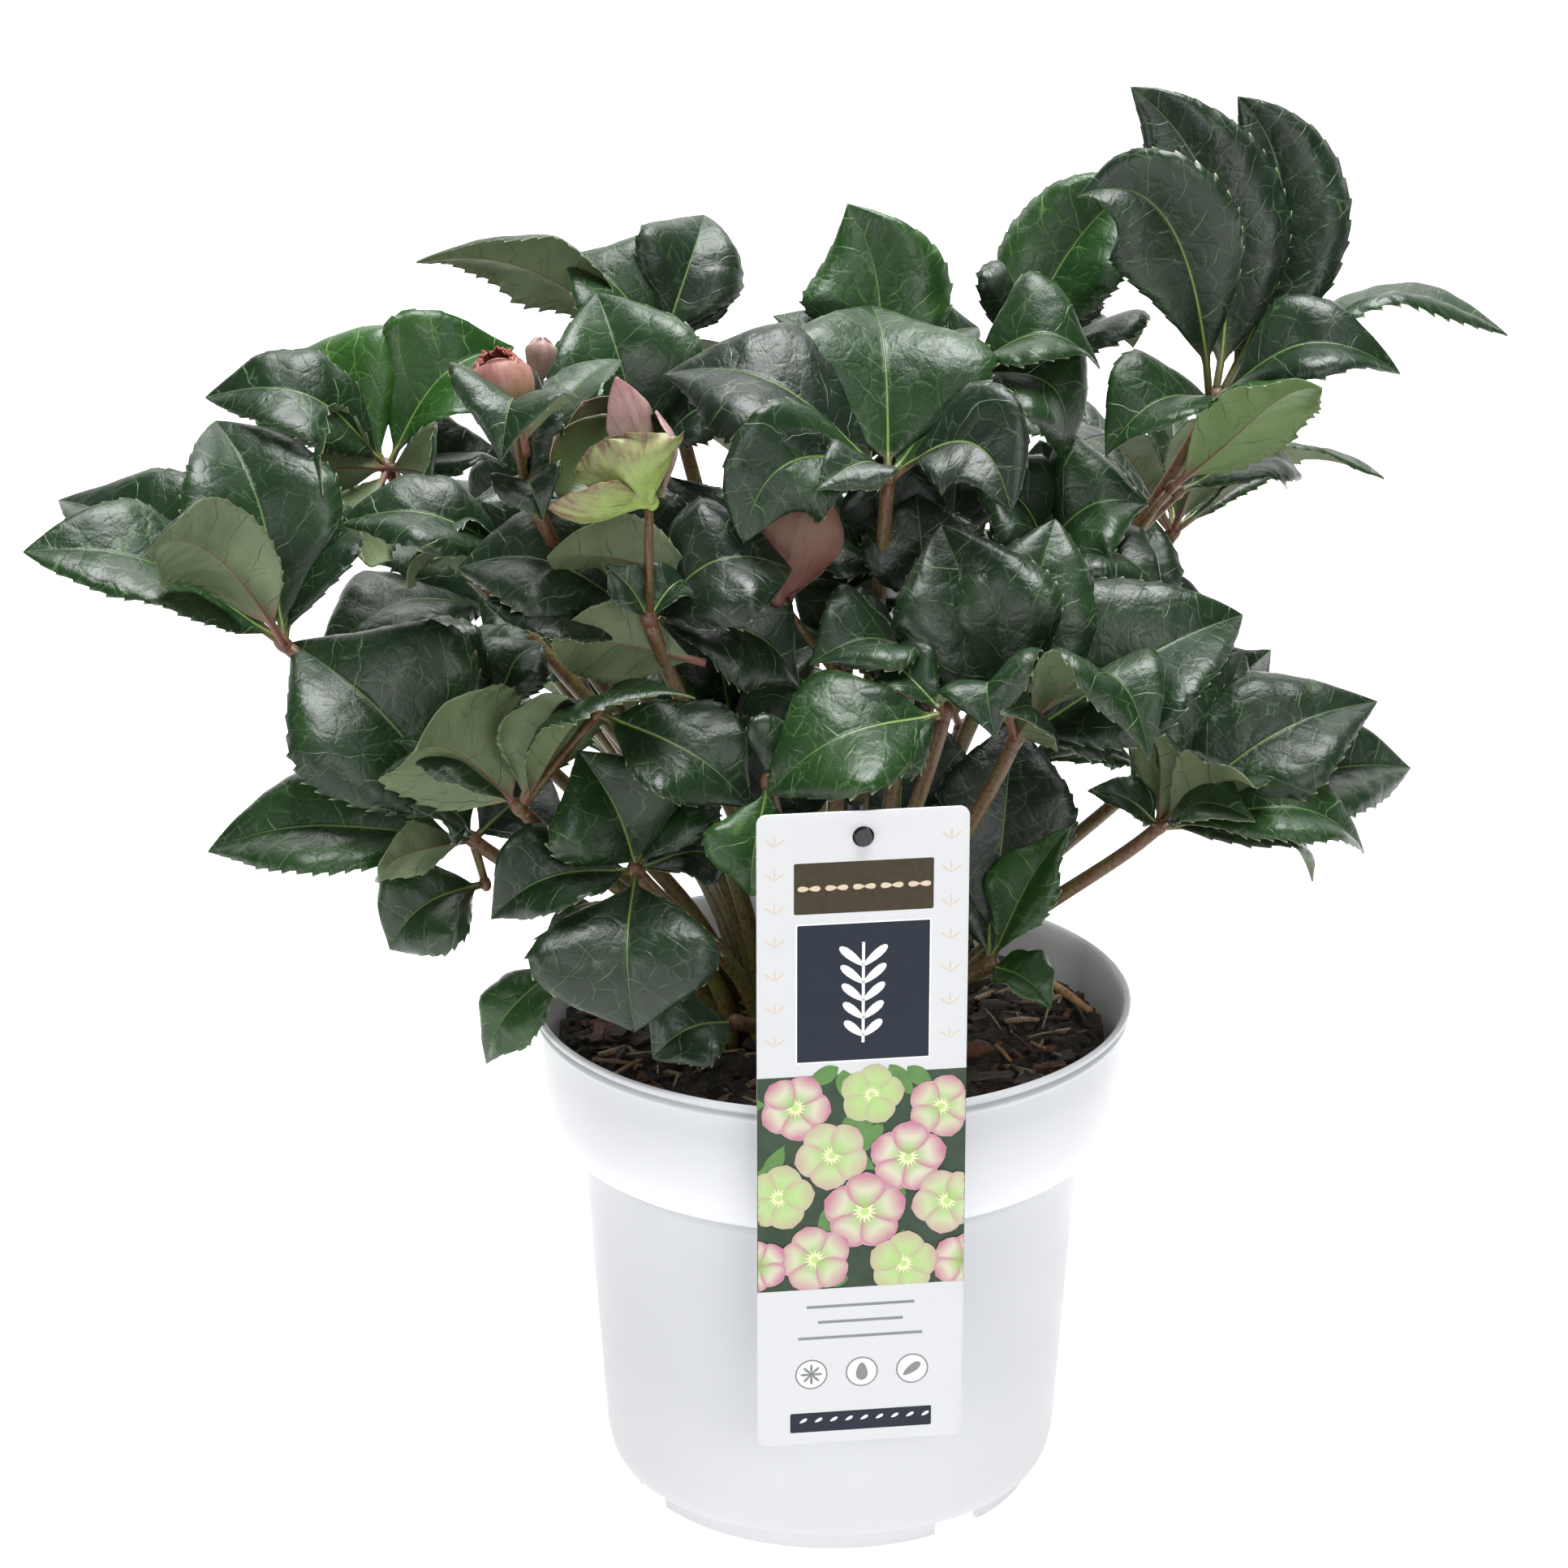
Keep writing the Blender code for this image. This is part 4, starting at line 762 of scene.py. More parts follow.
def write_measures(mesh, place, kind=(0.0, 0.0, 0.0), rim=0.0):
    """Writes what the finishes read: each point's place on its leaf, the leaf's kind, the way to its rim."""
    for name, values, size in (("leaf_place", place, 3), ("leaf_kind", kind, 3), ("leaf_rim", rim, 1)):
        made = mesh.attributes.new(name, "FLOAT_VECTOR" if size == 3 else "FLOAT", "POINT")
        rows = np.broadcast_to(np.asarray(values, np.float32).reshape(-1, size), (len(mesh.vertices), size))
        made.data.foreach_set("vector" if size == 3 else "value", rows.ravel())


def flat_points(master):
    """The flat leaflet's points, as all their places across, along and through it."""
    flat = np.empty(len(master.data.vertices) * 3, np.float32)
    master.data.vertices.foreach_get("co", flat)
    return flat.reshape(-1, 3).T


def laid(master, name, finishes, points, place, kind, rim):
    """A copy of the flat leaflet with its points laid in their places, in metres, and its measures."""
    mesh = master.data.copy()
    mesh.name = name
    mesh.vertices.foreach_set("co", (points * MM).astype(np.float32).ravel())
    write_measures(mesh, place, kind, rim)
    for number, finish in enumerate(finishes):
        mesh.materials[number] = finish
    return linked(name, mesh)


def hung(master, blade, name, finishes, kind, form):
    """A copy of the flat leaflet laid on its blade."""
    form = {**LEAF_FORM, **form}
    v, u, z = flat_points(master)
    held, rim, away = np.clip(u, 0, 1), np.abs(v), np.sign(v)
    shares = np.linspace(0, 1, MIDRIB_POINTS)

    def drawn(line):
        """A line known along the midrib, read at each point of the leaflet."""
        return np.stack([np.interp(held, shares, line[:, axis]) for axis in range(3)], 1)

    midrib = np.array([blade.spine(float(share)) for share in shares])
    frames = [blade.frame(float(share)) for share in shares]
    spine, side, normal = (drawn(line) for line in (
        midrib, np.array([side for side, _ in frames]), np.array([normal for _, normal in frames])))
    length = float(np.linalg.norm(np.diff(midrib, axis=0), axis=1).sum())
    along = u * length
    breadth = np.interp(held, shares, [
        outline(FOOT_SHARE / 2 + (1 - FOOT_SHARE / 2) * float(share), form["peak"], form["fullness"])
        for share in shares])
    half = np.maximum(blade.width / 2 * breadth, np.where(u < 0.5, 1.1 * form["rod"], 0.12))
    half = half * (1 + 0.035 * np.sin(11 * u + 3 * blade.phase + away)
                   + 0.012 * np.sin(61 * u + 5 * blade.phase))
    half = half * (1 - form["taper"] * smooth_step(u, 0.52, 0.98))
    x = half * v
    wave = form["wave"] * breadth * np.sin(8 * u + blade.phase + 1.5 * away) * rim ** 1.6
    ruffle = form["ruffle"] * breadth * np.sin(25 * u + 2.1 * blade.phase + 2 * away) * rim ** 3
    frill = form["frill"] * smooth_step(u, 0.55, 1.0) * np.sin(8.5 * v + blade.phase)
    between_veins = np.cos(math.tau * (along - 0.6 * np.abs(x)) / VEIN_PITCH)
    swell = form["swell"] * breadth * np.sin(np.pi * rim) * between_veins
    height = form["fold"] * half * (1.3 * rim - 0.3 * rim ** 3) - form["curl"] * half * rim ** 5
    height = height + wave + ruffle + frill + swell + form["cup"] * half * rim ** 2
    height = height - form["droop"] * length * np.clip(u - 0.5, 0, None) ** 2
    turn = math.radians(form["twist"]) * u
    across = x * np.cos(turn) - height * np.sin(turn) + form["sickle"] * length * np.sin(np.pi * held)
    height = x * np.sin(turn) + height * np.cos(turn)
    round_foot = 1 - smooth_step(u, 0.04, 0.15)
    ridge = np.exp(-(x / 1.1) ** 2) * form["rib"]
    skin = np.where(z > 0, form["thickness"] - 0.32 * ridge * (1 - held),
                    -form["thickness"] - (1.0 - 0.8 * held) * ridge) * np.where(rim > 0.97, 0.55, 1.0)
    rod = form["rod"] * np.sqrt(np.clip(1 - rim ** 2, 0, 1)) * np.where(z > 0, 1, -1)
    lift = (1 - round_foot) * (height + skin) + round_foot * rod
    forward = np.gradient(midrib, axis=0)
    forward = drawn(forward / np.linalg.norm(forward, axis=1, keepdims=True))
    points = (spine + side * across[:, None] + normal * lift[:, None]
              + forward * ((u - held) * length)[:, None])
    return laid(master, name, finishes, points, np.stack([x, along, u], 1), kind, rim)


# %% [markdown]
# Stems are round and slender. A path curve with a round bevel is the plain way to make one: its points
# are the route, each with its own thickness, and it is turned into a mesh once it lies right.

# %% Round stems from a path
def round_stem(name, points, radii, finish, first_share=0.0, last_share=1.0, sides=3):
    """A tube in metres along points in millimetres, closed at both ends."""
    path = added(name, bpy.ops.curve.primitive_nurbs_path_add)
    curve = path.data
    curve.splines.clear()
    spline = curve.splines.new("POLY")
    spline.points.add(len(points) - 1)
    for place, point, radius in zip(spline.points, points, radii):
        place.co = (*(point * MM), 1.0)
        place.radius = radius
    curve.bevel_depth = MM
    curve.bevel_resolution = sides
    curve.use_fill_caps = True
    curve.resolution_u = 1
    curve.materials.append(finish)
    bpy.ops.object.convert(target="MESH")
    made = bpy.context.object
    start_edit()
    bpy.ops.mesh.remove_doubles(threshold=0.00001)
    end_edit(outward=True)
    places = np.array([vert.co for vert in made.data.vertices])
    route = np.array([point * MM for point in points])
    nearest = np.argmin(((places[:, None] - route[None]) ** 2).sum(2), 1) / (len(points) - 1)
    shares = first_share + (last_share - first_share) * nearest
    write_measures(made.data, np.stack([shares * 0, shares * 0, shares], 1))
    made.data.shade_smooth()
    return made


def knuckle(name, place, radius, way, finish):
    """The swollen joint where leaflets part, drawn out along the stem."""
    made = added(name, bpy.ops.mesh.primitive_uv_sphere_add, segments=14, ring_count=8, radius=radius * MM)
    start_edit()
    bpy.ops.transform.resize(value=(1, 1, 1.5))
    end_edit()
    made.data.transform(way.to_track_quat("Z", "Y").to_matrix().to_4x4())
    made.data.transform(Matrix.Translation(place * MM))
    write_measures(made.data, (0.0, 0.0, 1.0))
    made.data.materials.append(finish)
    made.data.shade_smooth()
    return made

# %% [markdown]
# Young leaflets are a bright yellow green, and some leaflets turn their pale underside to the front.
# Which ones do so is read off the photo and listed by stem, since no rule would know it.

# %% Which leaflets are young and bright, and which turn their underside to the front
FRESH = {
    "upper_left": {1: 0.95, 2: 0.8}, "tall_right": {0: 0.5}, "centre_back": {0: 0.6},
    "front_bright": {0: 0.38}, "left_low": {1: 0.45}, "rim_left": {0: 0.7, 1: 0.4},
    "front_hanging": {0: 0.8}, "low_right": {0: 0.6, 1: 0.6}, "inner_right": {2: 0.6},
    "left_centre": {1: 0.2}, "centre": {4: 0.35}, "top_right": {5: 0.8},
}
UNDERSIDES = {
    "far_left": {4: 0.75}, "upper_left": {3: 0.6, 5: 0.7, 4: 0.45}, "left_centre": {0: 0.95, 4: 0.8, 1: 0.12},
    "left_low": {2: 0.75}, "right_centre": {5: 0.5}, "right_low": {4: 0.8, 5: 0.6}, "top_right": {5: 0.85},
    "back_left": {0: 0.35}, "middle_left": {2: 0.85, 4: 0.7}, "inner_left": {1: 0.3, 2: 0.6},
}


def turned_away(blade, share):
    """Rolls the blade about its chord, until this share of its breadth shows its underside."""
    chord = blade.chord.normalized()
    towards = facing(0, 0, 1)
    hidden = -(towards - chord * towards.dot(chord)).normalized()
    angle = math.atan2(blade.face.cross(hidden).dot(chord), blade.face.dot(hidden))
    short_of = math.copysign(math.acos(share), angle)
    blade.face = Quaternion(chord, angle - short_of) @ blade.face


# %% [markdown]
# Some leaflets at the front rise and then flop over, so they show their pale underside below and their
# dark upper side at the hanging tip. Their midrib is drawn round a crest, and their breadth keeps one way.

# %% Leaflets that flop over, as their crest, their tip, the way of their breadth and their width
class Flopped(Blade):
    """A leaflet whose midrib bends round a crest."""

    def __init__(self, foot, crest, tip, breadth, width, phase):
        super().__init__(foot, tip, Vector((0.02, 0.01, 1)), width, 0, 0)
        self.crest, self.breadth, self.phase = crest, breadth, phase

    def spine(self, u):
        tip = self.foot + self.chord
        drawn = self.crest * 2 - (self.foot + self.foot + self.chord) / 2
        return self.foot * (1 - u) ** 2 + drawn * (2 * u * (1 - u)) + tip * u * u

    def frame(self, u):
        along = self.heading(u)
        side = (self.breadth - along * self.breadth.dot(along)).normalized()
        return side, side.cross(along)


FLOPPED = {
    "top_right": {0: ((122, 190, 32), (122, 248, 44), (95, 287, 50), (0.95, 0.3, 0.0), 44),
                  1: ((120, 188, 22), (107, 244, 10), (78, 252, 14), (0.8, 0.55, 0.15), 40),
                  2: ((124, 190, 34), (143, 246, 56), (129, 284, 62), (0.98, 0.15, 0.0), 44)},
    "centre": {3: ((18, 163, -16), (-13, 168, -34), (-28, 142, -42), (-0.7, 0.7, 0.2), 38),
               2: ((20, 163, -16), (44, 174, -28), (57, 152, -42), (-0.6, -0.75, 0.1), 36)},
    "tall_right": {0: ((60, 199, 48), (75, 234, 56), (100, 259, 60), (0.8, -0.55, 0.2), 41)},
    "centre_back": {0: ((12, 190, 46), (15, 222, 54), (5, 250, 60), (1.0, 0.2, 0.0), 47)},
    "right_centre": {4: ((59, 80, -44), (50, 98, -64), (52, 80, -74), (-1.0, -0.30, -0.2), 34),
                     3: ((59, 80, -44), (86, 101, -62), (101, 73, -74), (-0.85, 0.0, 0.35), 36)},
    "far_left": {3: ((-174, 110, -10), (-198, 140, -42), (-219, 138, -64), (-0.45, -0.60, -0.6), 34)},
    "bud_stalk": {0: ((-97, 170, -46), (-101, 188, -60), (-105, 168, -74), (-1.0, 0.1, -0.2), 37)},
}

# Leaflets drawn anew as (tip, the way of their upper side, width, arch), and dark ones deep in the plant as
# (foot, tip, the way of their upper side, width)
REDRAWN = {
    "front_bright": {1: ((14, 107, -40), (0, 0.6, 0.8), 22, 4)},
    "left_low": {4: ((-143, 13, -42), (0, 0.45, 0.9), 37, 8), 1: ((-201, 50, -28), (0, 0.55, 0.8), 42, 4),
                 2: ((-150, 36, -66), (0, 0.35, -0.95), 18, 3)},
    "low_right": {0: ((74, 53, -18), (-0.55, 0.3, 0.75), 25, 3)},
    "top_right": {3: ((184, 203, 8), (0.1, 0.55, 0.8), 34, 14), 4: ((217, 217, 40), (0, 0.95, 0.3), 40, 14)},
    "far_left": {0: ((-194, 186, 16), (0.25, 0.3, 0.9), 50, 6),
                 1: ((-255, 146, -34), (-0.1, 0.65, 0.75), 44, 8)},
    "right_centre": {0: ((34, 149, -30), (-0.15, 0.15, 0.95), 50, 5),
                     1: ((72, 151, -28), (0.1, 0.2, 0.95), 46, 6),
                     2: ((131, 124, -34), (0.1, 0.5, 0.85), 54, 6)},
    "right_low": {1: ((187, 74, 10), (0.1, 0.5, 0.8), 40, 8), 2: ((177, 52, -32), (0, 0.7, 0.7), 34, 12)},
    "back_left": {2: ((-39, 249, 112), (0.3, 0.3, 0.9), 38, 6), 3: ((-34, 226, 120), (0, 0.4, 0.9), 24, 6)},
    "upper_left": {0: ((-201, 191, 30), (-0.2, 0.5, 0.8), 34, 19)},
    "rim_left": {0: ((-115, -23, -40), (-0.2, 0.5, 0.85), 23, 5)},
    "middle_left": {0: ((-121, 139, -36), (0, 0.6, 0.8), 48, 11),
                    1: ((-10, 139, -38), (0, 0.5, 0.85), 46, 12)},
}
SHADED = {
    "behind_left": [((-57, 168, 46), (-35, 120, 22), (0.1, 0.2, 1), 48)],
    "inner_right": [((42, 196, 24), (38, 142, 8), (0, 0.2, 1), 42)],
    "shade_right": [((78, 112, 48), (67, 174, 36), (0, 0.2, 1), 46)],
    "low_right": [((50, 10, -20), (58, 86, 2), (0, 0.2, 1), 44)],
    "left_low": [((-114, 48, -24), (-88, 68, -12), (0, 0.3, 1), 36)],
    "core_left": [((-32, 84, 6), (-40, 132, 2), (0, 0.2, 1), 44),
                  ((-14, 40, 0), (-22, 96, -6), (0, 0.2, 1), 42)],
    "core_right": [((20, 32, 10), (24, 94, 4), (0, 0.2, 1), 46)],
    "centre": [((30, 118, -10), (27, 158, -6), (0, 0.2, 1), 38),
               ((18, 178, 4), (20, 138, 2), (0, 0.2, 1), 32)],
    "inner_left": [((-62, 118, -8), (-68, 168, -8), (0, 0.2, 1), 42)],
    "middle_left": [((-36, 128, -38), (-92, 140, -46), (0, 0.5, -0.85), 31),
                    ((-58, 108, -30), (-94, 124, -34), (0, 0.6, 0.8), 34),
                    ((-62, 110, -46), (-110, 126, -54), (0, 0.7, 0.7), 34),
                    ((-40, 104, -50), (-91, 112, -60), (0, 0.4, -0.9), 29)],
}
# How much broader than planned a stem's leaflets are
BROADER = {"core_left": 1.3, "core_right": 1.3, "shade_left": 1.05, "rear_right": 0.75, "shade_right": 1.25,
           "middle_front": 1.2, "middle_right": 1.2, "inner_left": 1.1, "inner_right": 1.15}

# %% [markdown]
# Now each stem is put together: its tube, the swollen fork, a leaflet on each blade, and the twigs. The
# leaflets differ a little by a seeded draw, so the plant looks grown and still is the same each time.

# %% Build each leafy stem and let it stand for its solid
LEAF_SIDES = (leaf_top, leaf_under)
STALK_TOPS = {"open_bloom": (-58, 155.5, -57), "large_bud": (-102, 183, -44), "small_bud": (-93.5, 193, -26),
              "shaded_bloom": (-15, 122, -24)}


def drawn_form(draw):
    """A leaflet's own form, by a seeded draw."""
    return {"peak": draw.uniform(1.0, 1.26), "fullness": draw.uniform(0.80, 1.0),
            "fold": draw.uniform(0.15, 0.5), "droop": draw.uniform(0.1, 0.75), "twist": draw.gauss(0, 11),
            "sickle": draw.gauss(0, 0.028), "wave": draw.uniform(1.4, 4.0), "curl": draw.uniform(0.05, 0.3),
            "ruffle": draw.uniform(0.4, 1.1), "taper": draw.uniform(0.25, 0.5)}


def as_drawn(name, blade, form):
    """The blade that is laid: the planned one, or the one that a table above gives in its place."""
    if blade.order in REDRAWN.get(name, {}):
        tip, face, width, arch = REDRAWN[name][blade.order]
        form.update(twist=0.0, taper=0.15)
        return Blade(blade.foot, seen(*tip), facing(*face), width, arch, blade.phase / 2.4)
    if blade.order in FLOPPED.get(name, {}):
        foot, crest, tip, breadth, width = FLOPPED[name][blade.order]
        form.update(droop=0.0, twist=0.0, sickle=0.0, peak=0.92, taper=0.2)
        return Flopped(seen(*foot), seen(*crest), seen(*tip), facing(*breadth), width, blade.phase)
    if blade.order in UNDERSIDES.get(name, {}):
        turned_away(blade, UNDERSIDES[name][blade.order])
    return blade


def leafy_stem(name, number):
    draw = random.Random(number + 100)
    path, route = paths[name]
    fine, radii = stem_path(*route, steps=FINE_STEPS)
    stem = round_stem(name + "_stem", fine, [radius * STOUTER for radius in radii], stem_finish)
    way = (fine[-1] - fine[-3]).normalized()
    pieces = [stem, knuckle(name + "_fork", path[-1], HUB_RADIUS * 0.86, way, stem_finish)]
    for order, blade in enumerate(blades[name]):
        master = long_leaflet if blade.chord.length > LONG_LEAFLET else short_leaflet
        fresh = FRESH.get(name, {}).get(blade.order, max(0.0, draw.gauss(0.05, 0.09)))
        kind = (draw.random() * 0.9, fresh, draw.random())
        form = drawn_form(draw)
        blade.width *= BROADER.get(name, PLAIN_BREADTH)
        blade = as_drawn(name, blade, form)
        pieces.append(hung(master, blade, f"{name}_leaflet_{order}", LEAF_SIDES, kind, form))
    # Deep leaflets take the darkest tone, as painted shade deep in the plant.
    for order, (foot, tip, face, width) in enumerate(SHADED.get(name, ())):
        blade = Blade(seen(*foot), seen(*tip), facing(*face), width, 5, order)
        pieces.append(hung(long_leaflet, blade, f"{name}_deep_leaflet_{order}", LEAF_SIDES, (0.9, 0.0, 0.1),
                           {"wave": 2.0, "fold": 0.15, "taper": 0.15, "fullness": 0.85}))
    ends = list(twigs[name])
    for bloom_name in (STALKS[name][2] if name in STALKS else ()):
        ends.append((path[-1], seen(*STALK_TOPS[bloom_name])))
    for order, (start, end) in enumerate(ends):
        pieces.append(round_stem(f"{name}_twig_{order}", [start, (start + end) / 2, end], [1.6, 1.4, 1.3],
                                 stem_finish, 0.6, 0.9))
        if order < len(twigs[name]):
            way = (end - start).normalized()
            pieces.append(knuckle(f"{name}_knot_{order}", end, KNOT_RADIUS, way, stem_finish))
    join_all(name + "_foliage", pieces)
    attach(stem, "root")
    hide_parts(name)
    return stem


foliage = [leafy_stem(name, number) for number, name in enumerate(paths)]
print("leafy stems made:", len(foliage), "triangles:", sum(
    len(face.vertices) - 2 for piece in foliage for face in piece.data.polygons))

# %% [markdown]
# The blooms. A hellebore's showy part is its sepals, thick and veined. The open bloom is drawn from
# sight, sepal by sepal: where each starts and ends, which way its inner side faces and how far it bulges.
# A bud is a ball of sepals that overlap, so its sepals are laid round a turned shape instead.

# %% Lay the sepals of an open bloom
SEPALS = {
    "open_bloom": [
        ((-57.5, 156, -58), (-72, 175.5, -67), (0.35, 0.25, -1.0), 37, -4.5, "green_inside", "green_outside",
         {"peak": 1.05, "fullness": 0.5, "cup": 0.5, "frill": 1.6, "ruffle": 1.5, "wave": 1.2}),
        ((-56.5, 154.5, -57.5), (-69, 160, -66), (0.2, 0.3, -1.0), 11, -1.5, "green_inside", "green_outside",
         {"cup": 0.3}),
        ((-57.5, 155.5, -58), (-90, 153.5, -70), (0.1, 0.95, -0.5), 24, -3.5, "green_inside", "green_outside",
         {"peak": 1.0, "fullness": 0.72, "cup": 0.36}),
        ((-60, 158, -50), (-88, 176, -44), (0.30, 0.15, 1.0), 31, -5.0, "green_inside", "mauve",
         {"peak": 1.3, "fullness": 0.5, "cup": 0.30}),
        ((-60, 160, -46), (-79, 187, -36), (0.10, -0.1, 1.0), 28, -4.0, "green_inside", "mauve",
         {"peak": 1.3, "fullness": 0.55, "cup": 0.25}),
        ((-57, 159, -50), (-68.5, 195, -50), (-0.45, 0.0, -0.8), 15.5, -2.5, "green_inside", "mauve",
         {"peak": 1.15, "fullness": 0.85, "cup": 0.35}),
        ((-55, 157, -52), (-56, 184, -48), (-0.85, 0.1, 0.5), 22, -5.5, "green_inside", "mauve",
         {"peak": 1.25, "fullness": 0.6, "cup": 0.55})],
    "shaded_bloom": [
        ((-17.5, 123, -27), (-6.5, 164, -24), (-0.15, 0.0, -1.0), 29, -4.0, "brick", "brick",
         {"peak": 1.0, "fullness": 0.62, "cup": 0.25}),
        ((-16, 122.5, -23), (-16, 152, -14), (0.3, 0.0, -1.0), 20, -4.0, "brick", "brick",
         {"fullness": 0.6, "cup": 0.3}),
        ((-15, 122.5, -22), (-6, 154, -8), (-0.3, 0.3, 1.0), 22, -4.0, "brick", "brick",
         {"fullness": 0.6, "cup": 0.3})],
}
SEPAL_FORM = {"fold": 0.0, "curl": 0.0, "droop": 0.0, "wave": 0.5, "ruffle": 0.35, "swell": 0.0,
              "thickness": 0.35, "rod": 2.0}


def stamens(name, heart, way, count, reach, finish):
    """A tuft of fine stalks with their pollen knobs, round a bloom's heart."""
    draw = random.Random(count)
    made = []
    side = way.orthogonal().normalized()
    for number in range(count):
        around = Quaternion(way, math.tau * number / count) @ side
        end = heart + (way + around * draw.uniform(0.2, 0.75)).normalized() * reach * draw.uniform(0.7, 1.1)
        made.append(round_stem(f"{name}_stamen_{number}", [heart, (heart + end) / 2 + way * 0.6, end],
                               [0.22, 0.2, 0.2], finish, sides=1))
        made.append(knuckle(f"{name}_pollen_{number}", end, 0.55, way, finish))
    return made


def open_bloom(name):
    draw = random.Random(len(name))
    pieces = []
    for order, (foot, tip, face, width, arch, inside, outside, form) in enumerate(SEPALS[name]):
        blade = Blade(seen(*foot), seen(*tip), facing(*face), width, arch, order + 3)
        finishes = (SEPAL_FINISHES[inside], SEPAL_FINISHES[outside])
        pieces.append(hung(flat_sepal, blade, f"{name}_sepal_{order}", finishes, (0.0, 0.0, draw.random()),
                           {**SEPAL_FORM, **form}))
    return pieces

# %% [markdown]
# A bud is closed, and its sepals overlap round a hollow. Each flat sepal is wrapped round a turned shape
# by its angle and height, which is quicker and rounder than bending every sepal by hand.

# %% Lay the sepals of a bud round a turned shape
BUDS = {
    "large_bud": ((-103.5, 181, -44), (-107, 203.0, -46), 9.1, 0.95, 0.92, [
        (80, 50, 1.0, -0.6, "orange", 1.0, 0.52), (145, 46, 0.98, -0.8, "orange", 1.0, 0.50),
        (15, 46, 0.96, -0.7, "orange", 0.9, 0.50), (195, 60, 0.80, -0.2, "rose", 0.3, 0.0),
        (345, 60, 0.80, 0.1, "rose", 0.3, 0.0), (278, 86, 0.93, 0.7, "rose", 0.12, 0.52),
        (212, 50, 0.62, 1.2, "rose", 0.1, 0.0)]),
    "small_bud": ((-93.6, 192.5, -26), (-91.6, 207.5, -27), 3.9, 1.55, 0.975, [
        (60, 60, 1.0, -0.3, "pale_rose", 0.1, 0.0), (165, 60, 1.0, 0.0, "pale_rose", 0.1, 0.0),
        (275, 84, 0.99, 0.3, "pale_rose", 0.1, 0.0)]),
}


def bud(name):
    """Sepals round a bud from its base to its top; each has its turn, half its spread, its reach, its layer,
    its finish, its ruffle and how far its mouth stays open."""
    base, top, girth, fullest, closed, sepals = BUDS[name]
    base, top = seen(*base), seen(*top)
    way, length = (top - base).normalized(), (top - base).length
    right = Vector((1, 0, 0))
    right = (right - way * right.dot(way)).normalized()
    behind = way.cross(right)
    pieces = []
    for order, (turn, spread, reach, layer, finish, ruffle, mouth) in enumerate(sepals):
        v, u, z = flat_points(flat_sepal)
        t = u * reach
        shape = np.clip(np.sin(np.pi * np.clip(0.10 + 0.80 * u, 0, 1) ** 0.85), 0, 1) ** 0.55
        angle = np.radians(turn) + np.radians(spread) * v * shape * 1.25
        held = np.clip(t, 0, 1)
        closing = np.sin(np.pi * np.clip(held * closed + 0.025, 0, 1) ** fullest)
        closing = np.where(u > 0.5, np.maximum(closing, mouth), closing)
        rim = np.abs(v)
        radius = girth * closing + layer + 0.5 * rim ** 4 * smooth_step(u, 0.3, 0.8)
        ruffled = ruffle * smooth_step(u, 0.65, 1.0) * np.sin(9 * v + order)
        radius = radius + ruffled + np.where(z > 0, -0.3, 0.3)
        rise = length * (1 - np.cos(np.pi * held)) / 2 + length * np.clip(t - 1, 0, None) * 1.4
        rise = rise - 0.10 * length * rim ** 2 * smooth_step(u, 0.5, 1.0)
        out = np.cos(angle)[:, None] * np.array(right) + np.sin(angle)[:, None] * np.array(behind)
        points = np.array(base) + out * np.maximum(radius, 0.4)[:, None] + rise[:, None] * np.array(way)
        pieces.append(laid(flat_sepal, f"{name}_sepal_{order}", [SEPAL_FINISHES[finish]] * 2, points,
                           np.stack([v * girth, u * length * 1.3, u], 1), (0.0, 0.0, 0.17 * order), rim))
    return pieces

# %% [markdown]
# Each bloom's sepals are joined round its heart. The open bloom also gets its stamens, a tuft of fine
# stalks with a knob of pollen on each.

# %% Build the blooms
def whole_bloom(name):
    """The bloom's sepals round its heart, as one piece."""
    way = Vector(BLOOM_WAYS[name]).normalized()
    heart = knuckle(name + "_heart", seen(*STALK_TOPS[name]), 1.9, way, stem_finish)
    pieces = bud(name) if name in BUDS else open_bloom(name)
    if name == "open_bloom":
        pieces += stamens(name, seen(-60, 158, -54), facing(-0.5, 0.8, 0.1), 22, 9.0,
                          SEPAL_FINISHES["green_outside"])
    join_all(name + "_sepals", [heart] + pieces)
    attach(heart, "root")
    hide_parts(name)
    return heart


flowers = [whole_bloom(name) for name in BLOOM_WAYS]
print("blooms made:", {piece.name: len(piece.data.polygons) for piece in flowers})
